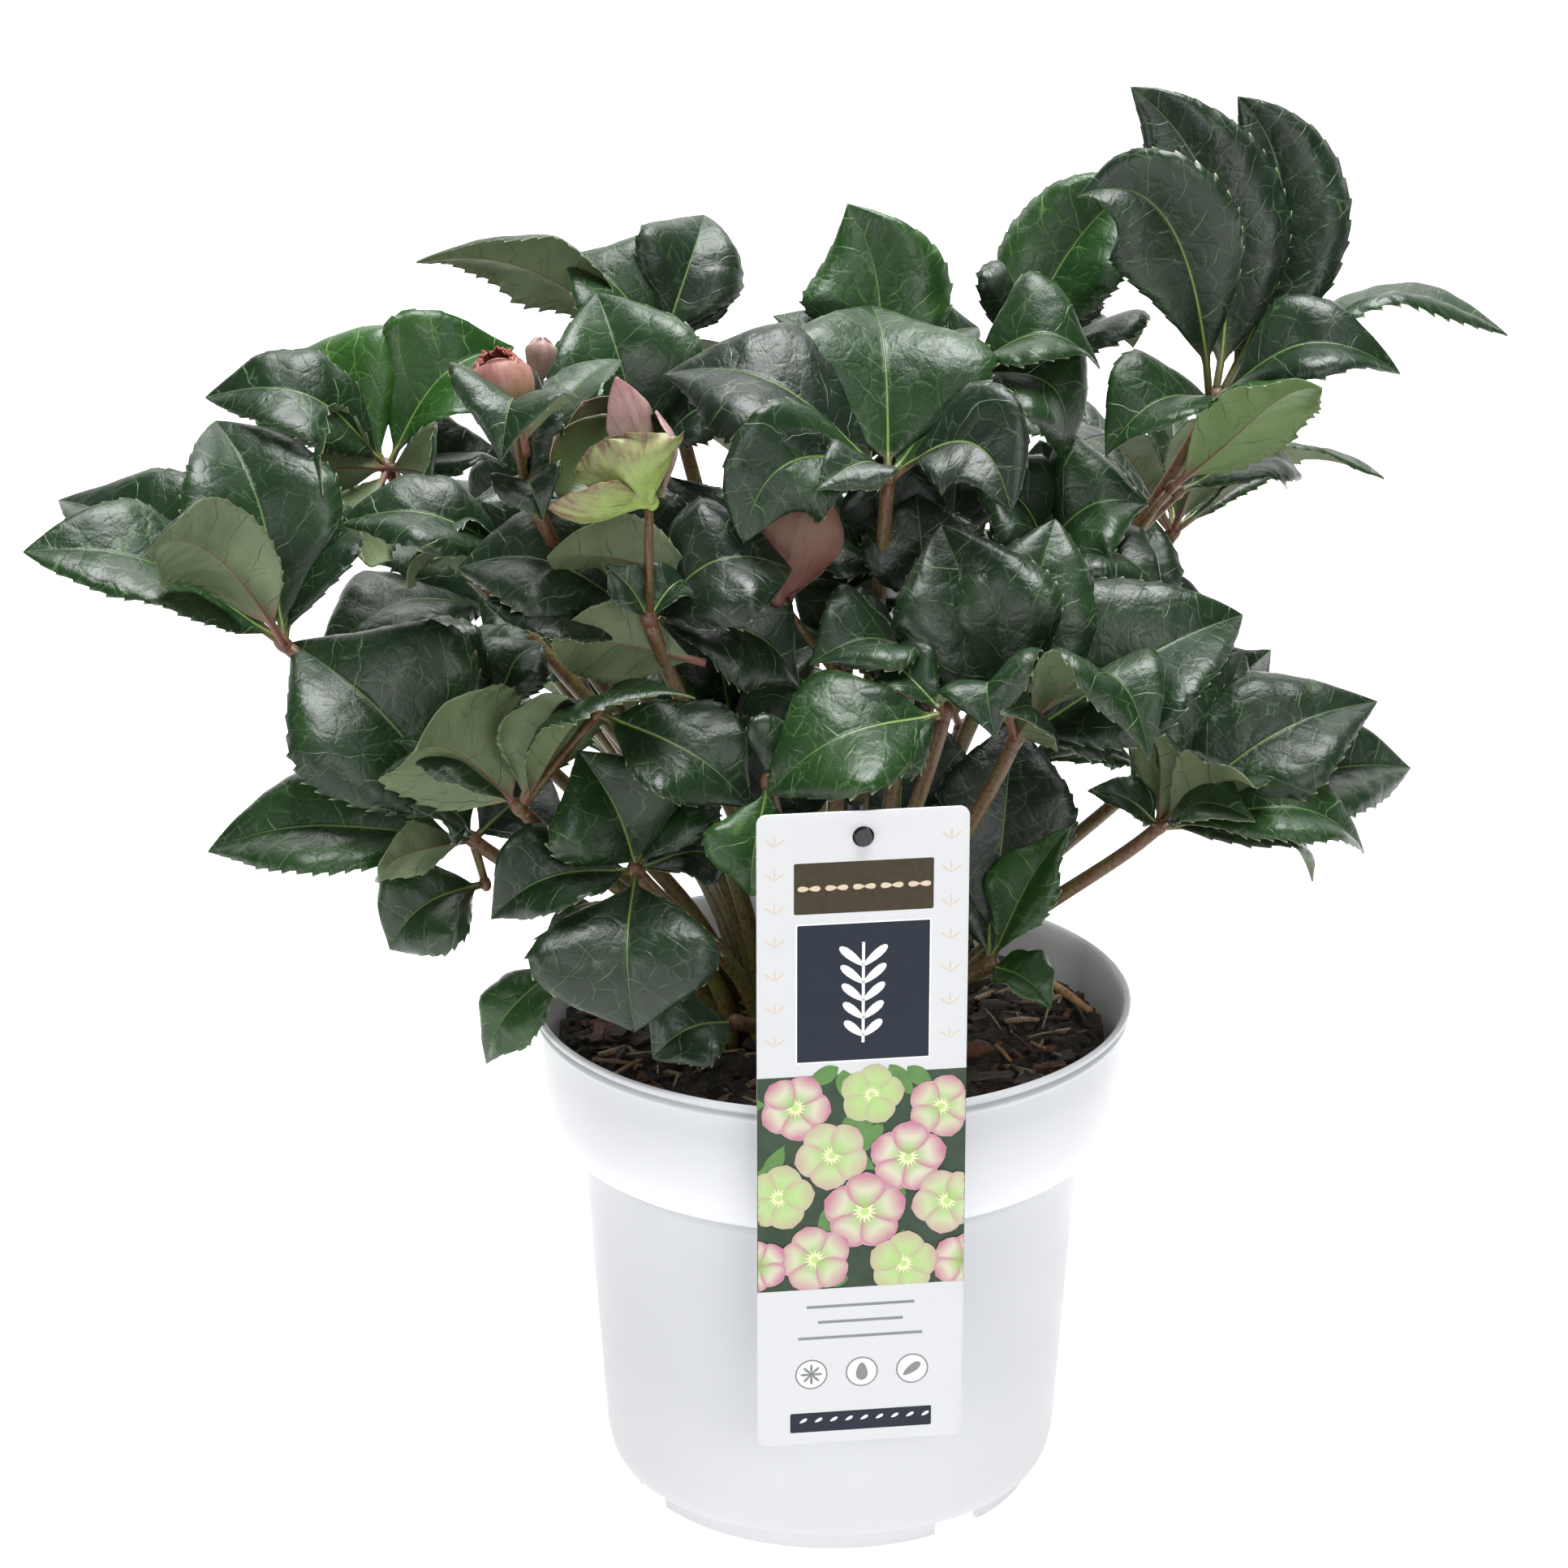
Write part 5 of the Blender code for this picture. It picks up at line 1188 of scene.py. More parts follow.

# %% [markdown]
# The pot is one thin moulding. It is turned like a bowl on a lathe: one ring of points is extruded from
# the middle of the inner floor, out and up the inside, over the rolled double lip, down the collar, under
# it and down the body to the foot ring, and in again to the pad under the middle.

# %% White plastic with faint scuffs, painted light at its collar and foot, and a painted shadow under the collar
def make_pot_finish():
    made, tree, shader = new_finish("white_moulded_plastic")
    place = own_place(tree)
    height = parts_of(tree, place)[2]
    cloud = grain(tree, place, 9.0, 3.0)
    color = blend_color(tree, cloud, (0.585, 0.597, 0.625), (0.62, 0.63, 0.65))
    dust = times(tree, span(tree, grain(tree, place, 160.0, 4.0, 0.7), 0.58, 0.72),
                 span(tree, height, 0.0, 0.035, 0.5, 0.0))
    color = blend_color(tree, dust, color, (0.42, 0.36, 0.28))
    scratches = vary(tree, "MULTIPLY", place, (60.0, 60.0, 900.0))
    marks = times(tree, span(tree, grain(tree, scratches, 1.0, 2.0), 0.66, 0.74),
                  span(tree, cloud, 0.5, 0.62, 0.0, 0.10))
    color = blend_color(tree, marks, color, (0.5, 0.51, 0.53))
    # Painted light: the collar band and the foot are painted paler, for more light falling on them.
    painted_light_band = times(tree, span(tree, height, 0.1195, 0.121), span(tree, height, 0.128, 0.150, 1.0, 0.0))
    painted_light_band = reckon(tree, "MAXIMUM", painted_light_band, span(tree, height, 0.0, 0.055, 1.0, 0.0))
    color = blend_color(tree, painted_light_band, color, (0.76, 0.77, 0.79))
    # Painted shadow: a thin grey line just under the collar, where its shade falls on the body.
    painted_collar_shadow = times(tree, span(tree, height, 0.1135, 0.1178, 0.0, 0.5),
                   span(tree, height, 0.1188, 0.1198, 1.0, 0.0))
    color = blend_color(tree, painted_collar_shadow, color, (0.30, 0.31, 0.33))
    painted(tree, shader, color, span(tree, grain(tree, place, 45.0, 3.0), 0.3, 0.7, 0.36, 0.46))
    bumped(tree, shader, grain(tree, place, 700.0, 2.0), 0.00008, 0.3)
    return made


pot_finish = make_pot_finish()

# %% Turn the pot
def turned_profile(name, profile, sides, finish):
    """A solid of revolution: a ring is extruded and resized from one point of the profile to the next."""
    radius, height = profile[0]
    made = added(name, bpy.ops.mesh.primitive_circle_add, vertices=sides, radius=radius * MM,
                 fill_type="NGON", location=(0, 0, height * MM))
    bpy.ops.object.transform_apply(location=True)
    start_edit()
    for wanted, level in profile[1:]:
        bpy.ops.mesh.extrude_region_move(TRANSFORM_OT_translate={"value": (0, 0, (level - height) * MM)})
        share = wanted / radius
        bpy.ops.transform.resize(value=(share, share, 1), center_override=(0, 0, level * MM))
        radius, height = wanted, level
    end_edit(outward=True)
    made.data.materials.append(finish)
    return made


def rounded(first, middle, last, steps=4):
    """Points on a smooth bend from first to last, drawn towards the middle one."""
    bend = []
    for step in range(steps + 1):
        t = step / steps
        bend.append(tuple(a * (1 - t) ** 2 + 2 * b * t * (1 - t) + c * t * t
                          for a, b, c in zip(first, middle, last)))
    return bend


inside_foot = SHOULDER_RADIUS - (SHOULDER_Z - BODY_FOOT_Z) * BODY_TAPER
floor_top = FLOOR_Z + FLOOR_THICKNESS
inside = [(1.0, floor_top), (30.0, floor_top)]
inside += rounded((inside_foot - 4, floor_top), (inside_foot - 0.6, floor_top), (inside_foot, BODY_FOOT_Z))
inside += [(SHOULDER_RADIUS, SHOULDER_Z)]
inside += rounded((SHOULDER_RADIUS + 0.8, SHOULDER_Z + 1), (86.5, 121.0), (88.0, 128.0))
lip = rounded((91.0, 158.0), (92.4, 163.2), (93.4, 163.7))
lip += rounded((94.0, 164.0), (95.0, 163.9), (95.0, 162.9))
lip += rounded((94.9, 162.0), (94.0, 161.1), (93.0, 160.9), 3)
lip += rounded((92.9, 160.4), (94.1, 160.2), (94.3, 159.3), 3)
lip += rounded((94.2, 158.6), (93.4, 157.6), (92.4, 157.2), 3)
collar = [(92.1, 152.0), (91.7, 142.0)] + rounded((91.4, 136.0), (90.9, 122.0), (86.2, 119.9), 7)
collar += rounded((84.4, 119.2), (81.4, 118.3), (79.9, 117.5), 3) + [(79.3, 113.0)]
base = rounded((72.9, 17.0), (72.0, 8.2), (69.2, 6.6), 5)
base += [(66.6, 6.3), (66.0, 5.6), (65.5, 0.35), (65.1, 0.0)]
foot_inside = FOOT_RADIUS - FOOT_WIDTH
under = [(foot_inside + 0.3, 0.0), (foot_inside, 0.35), (foot_inside, FLOOR_Z), (PAD_RADIUS + 1.0, FLOOR_Z),
         (PAD_RADIUS, 0.3), (PAD_RADIUS - 0.4, 0.0), (1.0, 0.0)]
profile = inside + lip + collar + base + under
pot = turned_profile("white_pot", profile, POT_SIDES, pot_finish)
print("pot rings:", len(profile), "polygons:", len(pot.data.polygons))

# %% [markdown]
# Water leaves by holes in the floor and runs out through notches in the foot ring. They are cut out of
# the turned pot by plain solids, all in one boolean, because that keeps the thin wall's edges clean.

# %% Drain holes and the notches in the foot ring
def cut_by(target, cutters):
    """Cuts all the cutters out of the target at once, and removes them."""
    group = bpy.data.collections.new(target.name + "_cutters")
    bpy.context.scene.collection.children.link(group)
    for cutter in cutters:
        for home in list(cutter.users_collection):
            home.objects.unlink(cutter)
        group.objects.link(cutter)
    only(target)
    bpy.ops.object.modifier_add(type="BOOLEAN")
    cut = target.modifiers[-1]
    cut.operation, cut.solver, cut.operand_type, cut.collection = "DIFFERENCE", "EXACT", "COLLECTION", group
    apply_all(target)
    for cutter in list(group.objects):
        bpy.data.objects.remove(cutter)
    bpy.data.collections.remove(group)


def round_the_axis(radius, angle, height):
    """A place in metres at a radius in millimetres."""
    return radius * math.cos(angle) * MM, radius * math.sin(angle) * MM, height


cutters = []
for number in range(DRAIN_COUNT):
    place = round_the_axis(DRAIN_CIRCLE, math.tau * number / DRAIN_COUNT, FLOOR_Z * MM + 0.001)
    cutters.append(added("drain", bpy.ops.mesh.primitive_cylinder_add, vertices=24, radius=DRAIN_RADIUS * MM,
                         depth=0.012, location=place))
for angle in map(math.radians, NOTCH_ANGLES):
    place = round_the_axis(FOOT_RADIUS, angle, 0.0015)
    cutters.append(added("notch", bpy.ops.mesh.primitive_cube_add, size=1, location=place,
                         scale=(0.012, NOTCH_WIDTH * MM, 0.007), rotation=(0, 0, angle)))
cut_by(pot, cutters)
only(pot)
bpy.ops.object.shade_smooth_by_angle(angle=math.radians(38))
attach(pot, "root")
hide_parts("pot")
print("pot:", len(pot.data.polygons), "polygons")

# %% [markdown]
# The soil is a dark, crumbly potting mix. A fine grid is cut round, moved up and down by the same bumps
# as the solid and by finer noise, and its rim is drawn down inside the pot. Crumbs and splinters of bark
# lie on it, each copied from a small rough lump.

# %% Soil finishes
def make_soil_finish():
    made, tree, shader = new_finish("potting_mix")
    place = own_place(tree)
    lumps = grain(tree, place, 380.0, 5.0, 0.68)
    color = blend_color(tree, span(tree, lumps, 0.3, 0.7), (0.004, 0.0032, 0.0026), (0.034, 0.024, 0.017))
    fibre = vary(tree, "MULTIPLY", place, (900.0, 240.0, 900.0))
    straw = span(tree, grain(tree, fibre, 1.0, 2.0, 0.6), 0.64, 0.72)
    color = blend_color(tree, times(tree, straw, 0.65), color, (0.17, 0.11, 0.06))
    painted(tree, shader, color, 0.9)
    bumped(tree, shader, lumps, 0.002, 0.9)
    return made


def make_bark_finish(name, dark, light, scale):
    made, tree, shader = new_finish(name)
    place = own_place(tree)
    fibres = grain(tree, place, scale, 4.0, 0.7)
    color = blend_color(tree, span(tree, fibres, 0.3, 0.7), dark, light)
    dark_grains = span(tree, grain(tree, place, scale * 3, 2.0), 0.6, 0.7, 0.0, 0.7)
    color = blend_color(tree, dark_grains, color, (0.02, 0.014, 0.01))
    painted(tree, shader, color, 0.8)
    bumped(tree, shader, fibres, 0.0008, 0.8)
    return made


soil_finish = make_soil_finish()
pale_chip = make_bark_finish("pale_wood_chip", (0.10, 0.065, 0.036), (0.36, 0.26, 0.16), 420.0)
dark_chip = make_bark_finish("dark_bark", (0.010, 0.007, 0.005), (0.050, 0.030, 0.019), 300.0)
red_chip = make_bark_finish("reddish_bark", (0.045, 0.018, 0.010), (0.15, 0.062, 0.032), 300.0)

# %% The crumbly ground
GROUND_CELLS = 120


def soil_height(x, y):
    """The bumpy top of the soil, higher round the crown."""
    reach = math.hypot(x, y)
    bumps = math.sin(x * 0.21 + 1.3) * math.sin(y * 0.17 + 0.4) + 0.6 * math.sin(x * 0.47 - y * 0.39)
    return SOIL_Z + SOIL_BUMP * bumps + 4.0 * math.exp(-(reach / 45.0) ** 2)


soil = added("soil_top", bpy.ops.mesh.primitive_grid_add, x_subdivisions=GROUND_CELLS,
             y_subdivisions=GROUND_CELLS, size=2 * SOIL_EDGE * MM)
start_edit()
pick(lambda co: co.xy.length > SOIL_EDGE * MM)
bpy.ops.mesh.delete(type="VERT")
bpy.ops.mesh.select_all(action="SELECT")
bpy.ops.mesh.region_to_loop()
bpy.ops.mesh.extrude_region_move(TRANSFORM_OT_translate={"value": (0, 0, -0.012)})
bpy.ops.transform.resize(value=(0.99, 0.99, 1), center_override=ORIGIN)
bpy.ops.mesh.edge_face_add()
end_edit()
for vert in soil.data.vertices:
    if vert.co.z > -0.006:
        x, y = vert.co.x / MM, vert.co.y / MM
        rough = 1.6 * noise.fractal(Vector((x * 0.11, y * 0.11, 3.0)), 1.0, 2.0, 4)
        rough += 0.8 * abs(noise.noise(Vector((x * 0.45, y * 0.45, 8.0))))
        near_rim = min(max((math.hypot(x, y) - 80) / 9, 0), 1)
        vert.co.z = (soil_height(x, y) + rough - 1.2 * near_rim) * MM
    else:
        vert.co.z = 0.138
soil.data.materials.append(soil_finish)
only(soil)
bpy.ops.object.shade_smooth()
print("ground:", len(soil.data.polygons), "polygons")

# %% [markdown]
# Bark, crumbs and pale splinters lie on the soil. A few rough lumps are modelled once and copied by a
# seeded draw. The sticks and lumps near the front are placed one by one, as the photo shows them.

# %% Crumbs and splinters
def rough_lump(name, size, seed, finish, splinter=False):
    """A small ball pulled out of round as a crumb or a chip, or a torn box as a splinter of bark or wood."""
    if splinter:
        made = added(name, bpy.ops.mesh.primitive_cube_add, size=1)
    else:
        made = added(name, bpy.ops.mesh.primitive_ico_sphere_add, subdivisions=2, radius=0.5)
    start_edit()
    if splinter:
        bpy.ops.mesh.subdivide(number_cuts=2)
    bpy.ops.transform.vertex_random(offset=0.13 if splinter else 0.09, seed=seed)
    bpy.ops.transform.resize(value=size)
    end_edit()
    made.data.materials.append(finish)
    return made


def scattered(masters, count, seed, sizes, reach, sunk):
    """Copies of the masters laid on the soil by a seeded draw, flat or a little tipped."""
    draw = random.Random(seed)
    copies = []
    for number in range(count):
        master = draw.choice(masters)
        size = draw.uniform(*sizes)
        angle = draw.uniform(0, math.tau)
        away = min(math.sqrt(draw.uniform(0.02, 1.0)) * reach, SOIL_REACH - size)
        x, y = away * math.cos(angle), away * math.sin(angle)
        mesh = master.data.copy()
        turn = Matrix.Rotation(draw.uniform(0, math.tau), 4, "Z")
        turn = turn @ Matrix.Rotation(draw.gauss(0, 0.28), 4, "X")
        turn = turn @ Matrix.Rotation(draw.gauss(0, 0.2), 4, "Y")
        place = Matrix.Translation(Vector((x, y, soil_height(x, y) + size * sunk)) * MM)
        mesh.transform(place @ turn @ Matrix.Scale(size * MM, 4))
        copies.append(linked(f"{master.name}_{number}", mesh))
    return copies


crumbs = [rough_lump("crumb_a", (1, 0.8, 0.7), 1, soil_finish),
          rough_lump("crumb_b", (1.2, 0.7, 0.6), 2, dark_chip),
          rough_lump("crumb_c", (0.9, 0.9, 0.6), 3, soil_finish)]
barks = [rough_lump("bark_a", (1, 0.45, 0.22), 4, dark_chip, True),
         rough_lump("bark_b", (1, 0.30, 0.16), 5, red_chip, True),
         rough_lump("bark_c", (1, 0.6, 0.25), 6, dark_chip, True)]
straws = [rough_lump("straw_a", (1, 0.10, 0.07), 7, pale_chip, True),
          rough_lump("straw_b", (1, 0.20, 0.10), 8, pale_chip, True)]
litter = scattered(crumbs, 900, 11, (1.6, 4.6), 85.0, 0.12)
litter += scattered(barks, 190, 12, (4.0, 13.0), 82.0, 0.10)
litter += scattered(straws, 130, 13, (4.0, 15.0), 82.0, 0.10)
for master in crumbs + barks + straws:
    bpy.data.objects.remove(master)


def on_soil(across, up, lift, spare=2.5):
    """The point of the soil seen at (across, up), raised a little and kept clear of the pot's wall."""
    ray = sight(across, up)
    point = view_eye + ray * ((SOIL_Z + lift - view_eye.z) / ray.z)
    inward = min(1.0, (SOIL_REACH - spare) / math.hypot(point.x, point.y))
    return Vector((point.x * inward, point.y * inward, point.z))


STICKS = [
    ((64, 8.5, 2.5), (76, 16.0, 8.0), 1.3, "pale"), ((66, 10.0, 2.0), (74, 13.5, 5.5), 0.7, "pale"),
    ((66, 4.5, 4.0), (86, -6.5, 3.0), 1.5, "spotted"), ((55, -9.8, 3.5), (66, -9.3, 3.0), 0.9, "pale"),
    ((66, -9.3, 3.0), (74, -9.0, 2.5), 0.8, "dark"), ((70.5, -1.0, 7.0), (67, -12.0, 3.0), 0.45, "pale"),
    ((49, -6.0, 4.0), (54, -12.5, 3.0), 0.35, "pale"), ((58, -14.0, 3.0), (64, -20.0, 2.5), 0.5, "dark"),
    ((52, -17.5, 3.0), (57, -22.5, 2.5), 0.7, "spotted"), ((-76, -22.0, 3.0), (-60, -24.0, 2.5), 0.7, "pale"),
    ((-70, -27.0, 3.0), (-58, -21.0, 3.0), 0.6, "pale"), ((-62, -29.5, 3.0), (-50, -27.0, 2.5), 0.5, "dark"),
    ((62, -15.0, 3.5), (72, -13.0, 3.0), 0.4, "pale"), ((76, -2.0, 3.0), (82, -12.0, 2.5), 0.6, "dark"),
]
STICK_FINISHES = {"pale": pale_chip, "dark": dark_chip, "spotted": make_bark_finish(
    "speckled_twig", (0.22, 0.11, 0.045), (0.42, 0.24, 0.11), 240.0)}
for number, (start, end, radius, finish) in enumerate(STICKS):
    start, end = on_soil(*start), on_soil(*end)
    middle = (start + end) / 2 + Vector((0, 0, 0.4))
    litter.append(round_stem(f"stick_{number}", [start, middle, end], [radius, radius * 1.1, radius * 0.8],
                             STICK_FINISHES[finish], sides=1))
LUMPS = ((51, -5.5, 9.0, dark_chip), (45.5, -19.0, 10.0, red_chip), (60, 1.5, 6.0, dark_chip),
         (79, 3.0, 5.5, dark_chip), (62, -4.5, 5.0, red_chip), (-66, -32.0, 7.0, dark_chip))
for number, (across, up, size, finish) in enumerate(LUMPS):
    lump = rough_lump(f"lump_{number}", (1.2, 0.9, 0.6), 20 + number, finish)
    lump.data.transform(Matrix.Translation(on_soil(across, up, 1.5, size) * MM) @ Matrix.Scale(size * MM, 4))
    lump.data.shade_smooth()
    litter.append(lump)
join_all("soil_top", [soil] + litter)
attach(soil, "root")
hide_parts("soil")
print("soil with crumbs:", len(soil.data.polygons), "polygons")

# %% [markdown]
# The tag is a thin laminated card. Its print is laid on as flat shapes a few hundredths of a millimetre
# proud, the way a thick ink lies: a gilt band, a navy panel with a plain sprig, a strip of simple
# flowers, and plain care signs. They are drawn in the card's own plane and turned with it.

# %% Card and inks
def make_ink(name, first, second, roughness=0.3, scale=220.0):
    made, tree, shader = new_finish(name)
    place = own_place(tree)
    painted(tree, shader, blend_color(tree, grain(tree, place, scale, 3.0), first, second), roughness, 0.3)
    return made


card = make_ink("laminated_card", (0.63, 0.64, 0.66), (0.67, 0.675, 0.685), 0.32, 60.0)
INKS = {
    "gilt": make_ink("gilt_ink", (0.026, 0.018, 0.007), (0.055, 0.038, 0.015), 0.35, 500.0),
    "navy": make_ink("navy_ink", (0.006, 0.012, 0.024), (0.009, 0.016, 0.030), 0.4),
    "line": make_ink("pale_gilt_line", (0.62, 0.50, 0.34), (0.70, 0.60, 0.46)),
    "white": make_ink("white_ink", (0.80, 0.80, 0.80), (0.86, 0.86, 0.86)),
    "deep": make_ink("deep_green_ink", (0.012, 0.030, 0.016), (0.050, 0.085, 0.045), 0.3, 160.0),
    "leaf": make_ink("leaf_green_ink", (0.06, 0.17, 0.045), (0.16, 0.30, 0.09), 0.3, 260.0),
    "lime": make_ink("lime_ink", (0.38, 0.60, 0.16), (0.58, 0.74, 0.30), 0.3, 260.0),
    "cream": make_ink("cream_ink", (0.66, 0.68, 0.36), (0.80, 0.80, 0.56), 0.3, 300.0),
    "grey": make_ink("grey_ink", (0.20, 0.21, 0.22), (0.26, 0.27, 0.28)),
}

# %% Make the card
def flat_shape(name, points, level, depth, finish):
    """A flat shape in the card's plane from (across, down) points, in millimetres, with its thickness."""
    made = added(name, bpy.ops.mesh.primitive_circle_add, vertices=len(points), radius=1, fill_type="NGON")
    for vert, (across, down) in zip(made.data.vertices, points):
        vert.co = (across, -level, -down)
    start_edit()
    bpy.ops.mesh.extrude_region_move(TRANSFORM_OT_translate={"value": (0, -depth, 0)})
    end_edit(outward=True)
    made.data.materials.append(finish)
    return made


def rectangle(left, top, right, bottom, corner=0.0, steps=6):
    """The outline of a rectangle with round corners, as (across, down) points."""
    if corner == 0:
        return [(right, top), (left, top), (left, bottom), (right, bottom)]
    points = []
    centres = ((right - corner, top + corner), (left + corner, top + corner),
               (left + corner, bottom - corner), (right - corner, bottom - corner))
    for quarter, (across, down) in enumerate(centres):
        for step in range(steps + 1):
            angle = math.radians(90 * (quarter + step / steps))
            points.append((across + corner * math.cos(angle), down - corner * math.sin(angle)))
    return points


def onto_tag(thing):
    """Puts what is drawn in the card's plane, with its top edge at 0, in the tag's place, in metres."""
    turn = Matrix.Rotation(math.radians(TAG_YAW), 4, "Z")
    place = Matrix.Translation(Vector((*TAG_PLACE, TAG_TOP_Z)) * MM)
    thing.data.transform(place @ turn @ Matrix.Scale(MM, 4))


half_card = TAG_WIDTH / 2
tag = flat_shape("card", rectangle(-half_card, 0, half_card, TAG_HEIGHT, TAG_CORNER, 10), -TAG_THICKNESS / 2,
                 TAG_THICKNESS, card)
cut_by(tag, [added("tag_hole", bpy.ops.mesh.primitive_cylinder_add, vertices=40, radius=TAG_HOLE_RADIUS,
                   depth=6, location=(0, 0, -TAG_HOLE_DROP), rotation=(math.pi / 2, 0, 0))])
onto_tag(tag)
only(tag)
bpy.ops.object.modifier_add(type="BEVEL")
bevel = tag.modifiers[0]
bevel.width, bevel.segments, bevel.limit_method = 0.00012, 2, "ANGLE"
apply_all(tag)
bpy.ops.object.shade_smooth_by_angle(angle=math.radians(30))
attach(tag, "root")
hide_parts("tag")
print("card:", [round(side / MM, 1) for side in tag.dimensions])

# %% Shapes of the print
INK, PROUDER, CARD_SPARE = 0.03, 0.004, 0.15


def petal(across, down, turn, length, width):
    """A petal's outline from its foot at (across, down)."""
    points = []
    for step in range(14):
        angle = math.tau * step / 14
        x = length * (0.5 - 0.5 * math.cos(angle))
        y = width / 2 * math.sin(angle) * (0.55 + 0.45 * (x / length))
        points.append((across + x * math.cos(turn) - y * math.sin(turn),
                       down + x * math.sin(turn) + y * math.cos(turn)))
    return points


def disc(across, down, radius, sides=20):
    return [(across + radius * math.cos(angle), down - radius * math.sin(angle))
            for angle in (math.tau * step / sides for step in range(sides))]


def on_card(across):
    """Held inside the card's edges."""
    return min(max(across, CARD_SPARE - half_card), half_card - CARD_SPARE)


def printed(shapes, name):
    """Lays the shapes on the card's front, later ones a little prouder, as one piece."""
    made = []
    for number, (points, ink, layer) in enumerate(shapes):
        clipped = [(on_card(across), down) for across, down in points]
        made.append(flat_shape(f"{name}_{number}", clipped, TAG_THICKNESS / 2 + PROUDER * layer,
                               INK + PROUDER * layer, INKS[ink]))
    join_all(name, made)
    onto_tag(made[0])
    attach(made[0], "root")
    return made[0]


# %% The top: a gilt band, fine curls at the sides and a navy panel with a sprig
UPRIGHT = -math.pi / 2
shapes = [(rectangle(-20.5, 15.5, 21.0, 31.5, 0.6), "gilt", 1),
          (rectangle(-20.0, 34.5, 20.5, 79.0, 0.4), "white", 1),
          (rectangle(-19.5, 35.0, 20.0, 78.5, 0.4), "navy", 2)]
for number in range(5):
    middle = -16 + 8.2 * number
    shapes.append((petal(middle, 23.5, 0.0, 3.4, 2.2), "line", 2))
    shapes.append((petal(middle, 23.5, math.pi, 3.4, 2.2), "line", 2))
shapes.append((rectangle(-0.2, 41.0, 0.7, 73.0), "white", 3))
for number in range(5):
    down = 46.0 + 5.6 * number
    for side in (-1, 1):
        length = 9.5 - 0.5 * number
        shapes.append((petal(0.25, down + 2.5, UPRIGHT + side * 0.85, length, 3.4), "white", 3))
for side in (-1, 1):
    for row in range(7):
        down = 8.0 + 10.5 * row
        for curl in range(3):
            turn = UPRIGHT + (curl - 1) * 0.9
            shapes.append((petal(side * 26.2, down + 2, turn, 3.8, 0.55), "line", 1))
top_print = printed(shapes, "upper_print")

# %% [markdown]
# A strip of flowers on deep green runs across the card. Each printed petal is the flat leaflet again,
# laid on the card and coloured by its own attributes, so that the print needs no picture file.

# %% The strip of flowers, on deep green
def make_petal_ink():
    """Ink of a printed petal: lime at its foot, cream, and pink at its edge, by the petal's own kind."""
    made, tree, shader = new_finish("petal_ink")
    _, along, share = parts_of(tree, attribute(tree, "leaf_place"))
    pinkness, greenness, seed = parts_of(tree, attribute(tree, "leaf_kind"))
    rim = attribute(tree, "leaf_rim", "Fac")
    place = own_place(tree)
    mottle = grain(tree, place, 420.0, 3.0)
    ground = blend_color(tree, span(tree, share, 0.1, 0.55), (0.22, 0.42, 0.07), (0.66, 0.66, 0.50))
    ground = blend_color(tree, greenness, ground, (0.40, 0.60, 0.20))
    edge = reckon(tree, "MAXIMUM", reckon(tree, "POWER", rim, 2.2), span(tree, share, 0.5, 1.0))
    amount = times(tree, edge, times_plus(tree, mottle, 0.5, pinkness))
    color = blend_color(tree, amount, ground, (0.50, 0.19, 0.27))
    pale_rim = span(tree, reckon(tree, "POWER", rim, 6.0), 0.5, 1.0, 0.0, 0.5)
    color = blend_color(tree, pale_rim, color, (0.75, 0.62, 0.62))
    painted(tree, shader, color, 0.3)
    return made


petal_ink = make_petal_ink()
PETAL_FORM = {"fold": 0.0, "curl": 0.0, "droop": 0.0, "wave": 0.0, "ruffle": 0.0, "swell": 0.0,
              "thickness": 0.012, "rib": 0.0, "rod": 0.012, "peak": 1.2, "fullness": 0.6}
# Each flower: its heart across and down, its reach, and how pink and how green it is
PRINTED_FLOWERS = [
    (-20, 93, 11.0, 0.9, 0.1), (3, 90, 10.0, 0.2, 0.9), (24, 95, 10.5, 0.8, 0.3),
    (-9, 109, 11.5, 0.4, 0.6), (14, 111, 12.0, 1.0, 0.0), (-25, 122, 11.0, 0.3, 0.8),
    (1, 128, 13.0, 1.0, 0.15), (26, 126, 11.0, 0.5, 0.5), (-14, 143, 11.5, 0.8, 0.3),
    (13, 146, 11.0, 0.3, 0.8), (-31, 144, 9.0, 1.0, 0.1), (31, 146, 9.5, 0.9, 0.1),
]


def printed_petal(name, across, down, turn, length, width, kind, lift, ink):
    """A petal laid flat on the card, from its foot at (across, down), cut off where the strip ends."""
    foot = Vector((across, -TAG_THICKNESS / 2 - lift, -down))
    tip = foot + Vector((math.cos(turn), 0, math.sin(turn))) * length
    blade = Blade(foot, tip, Vector((0, -1, 0)), width, 0, 0)
    made = hung(flat_petal, blade, name, (ink, ink), kind, PETAL_FORM)
    made.data.transform(Matrix.Scale(1 / MM, 4))
    for vert in made.data.vertices:
        vert.co.x = on_card(vert.co.x)
        vert.co.z = min(max(vert.co.z, -152.9), -78.0)
    return made


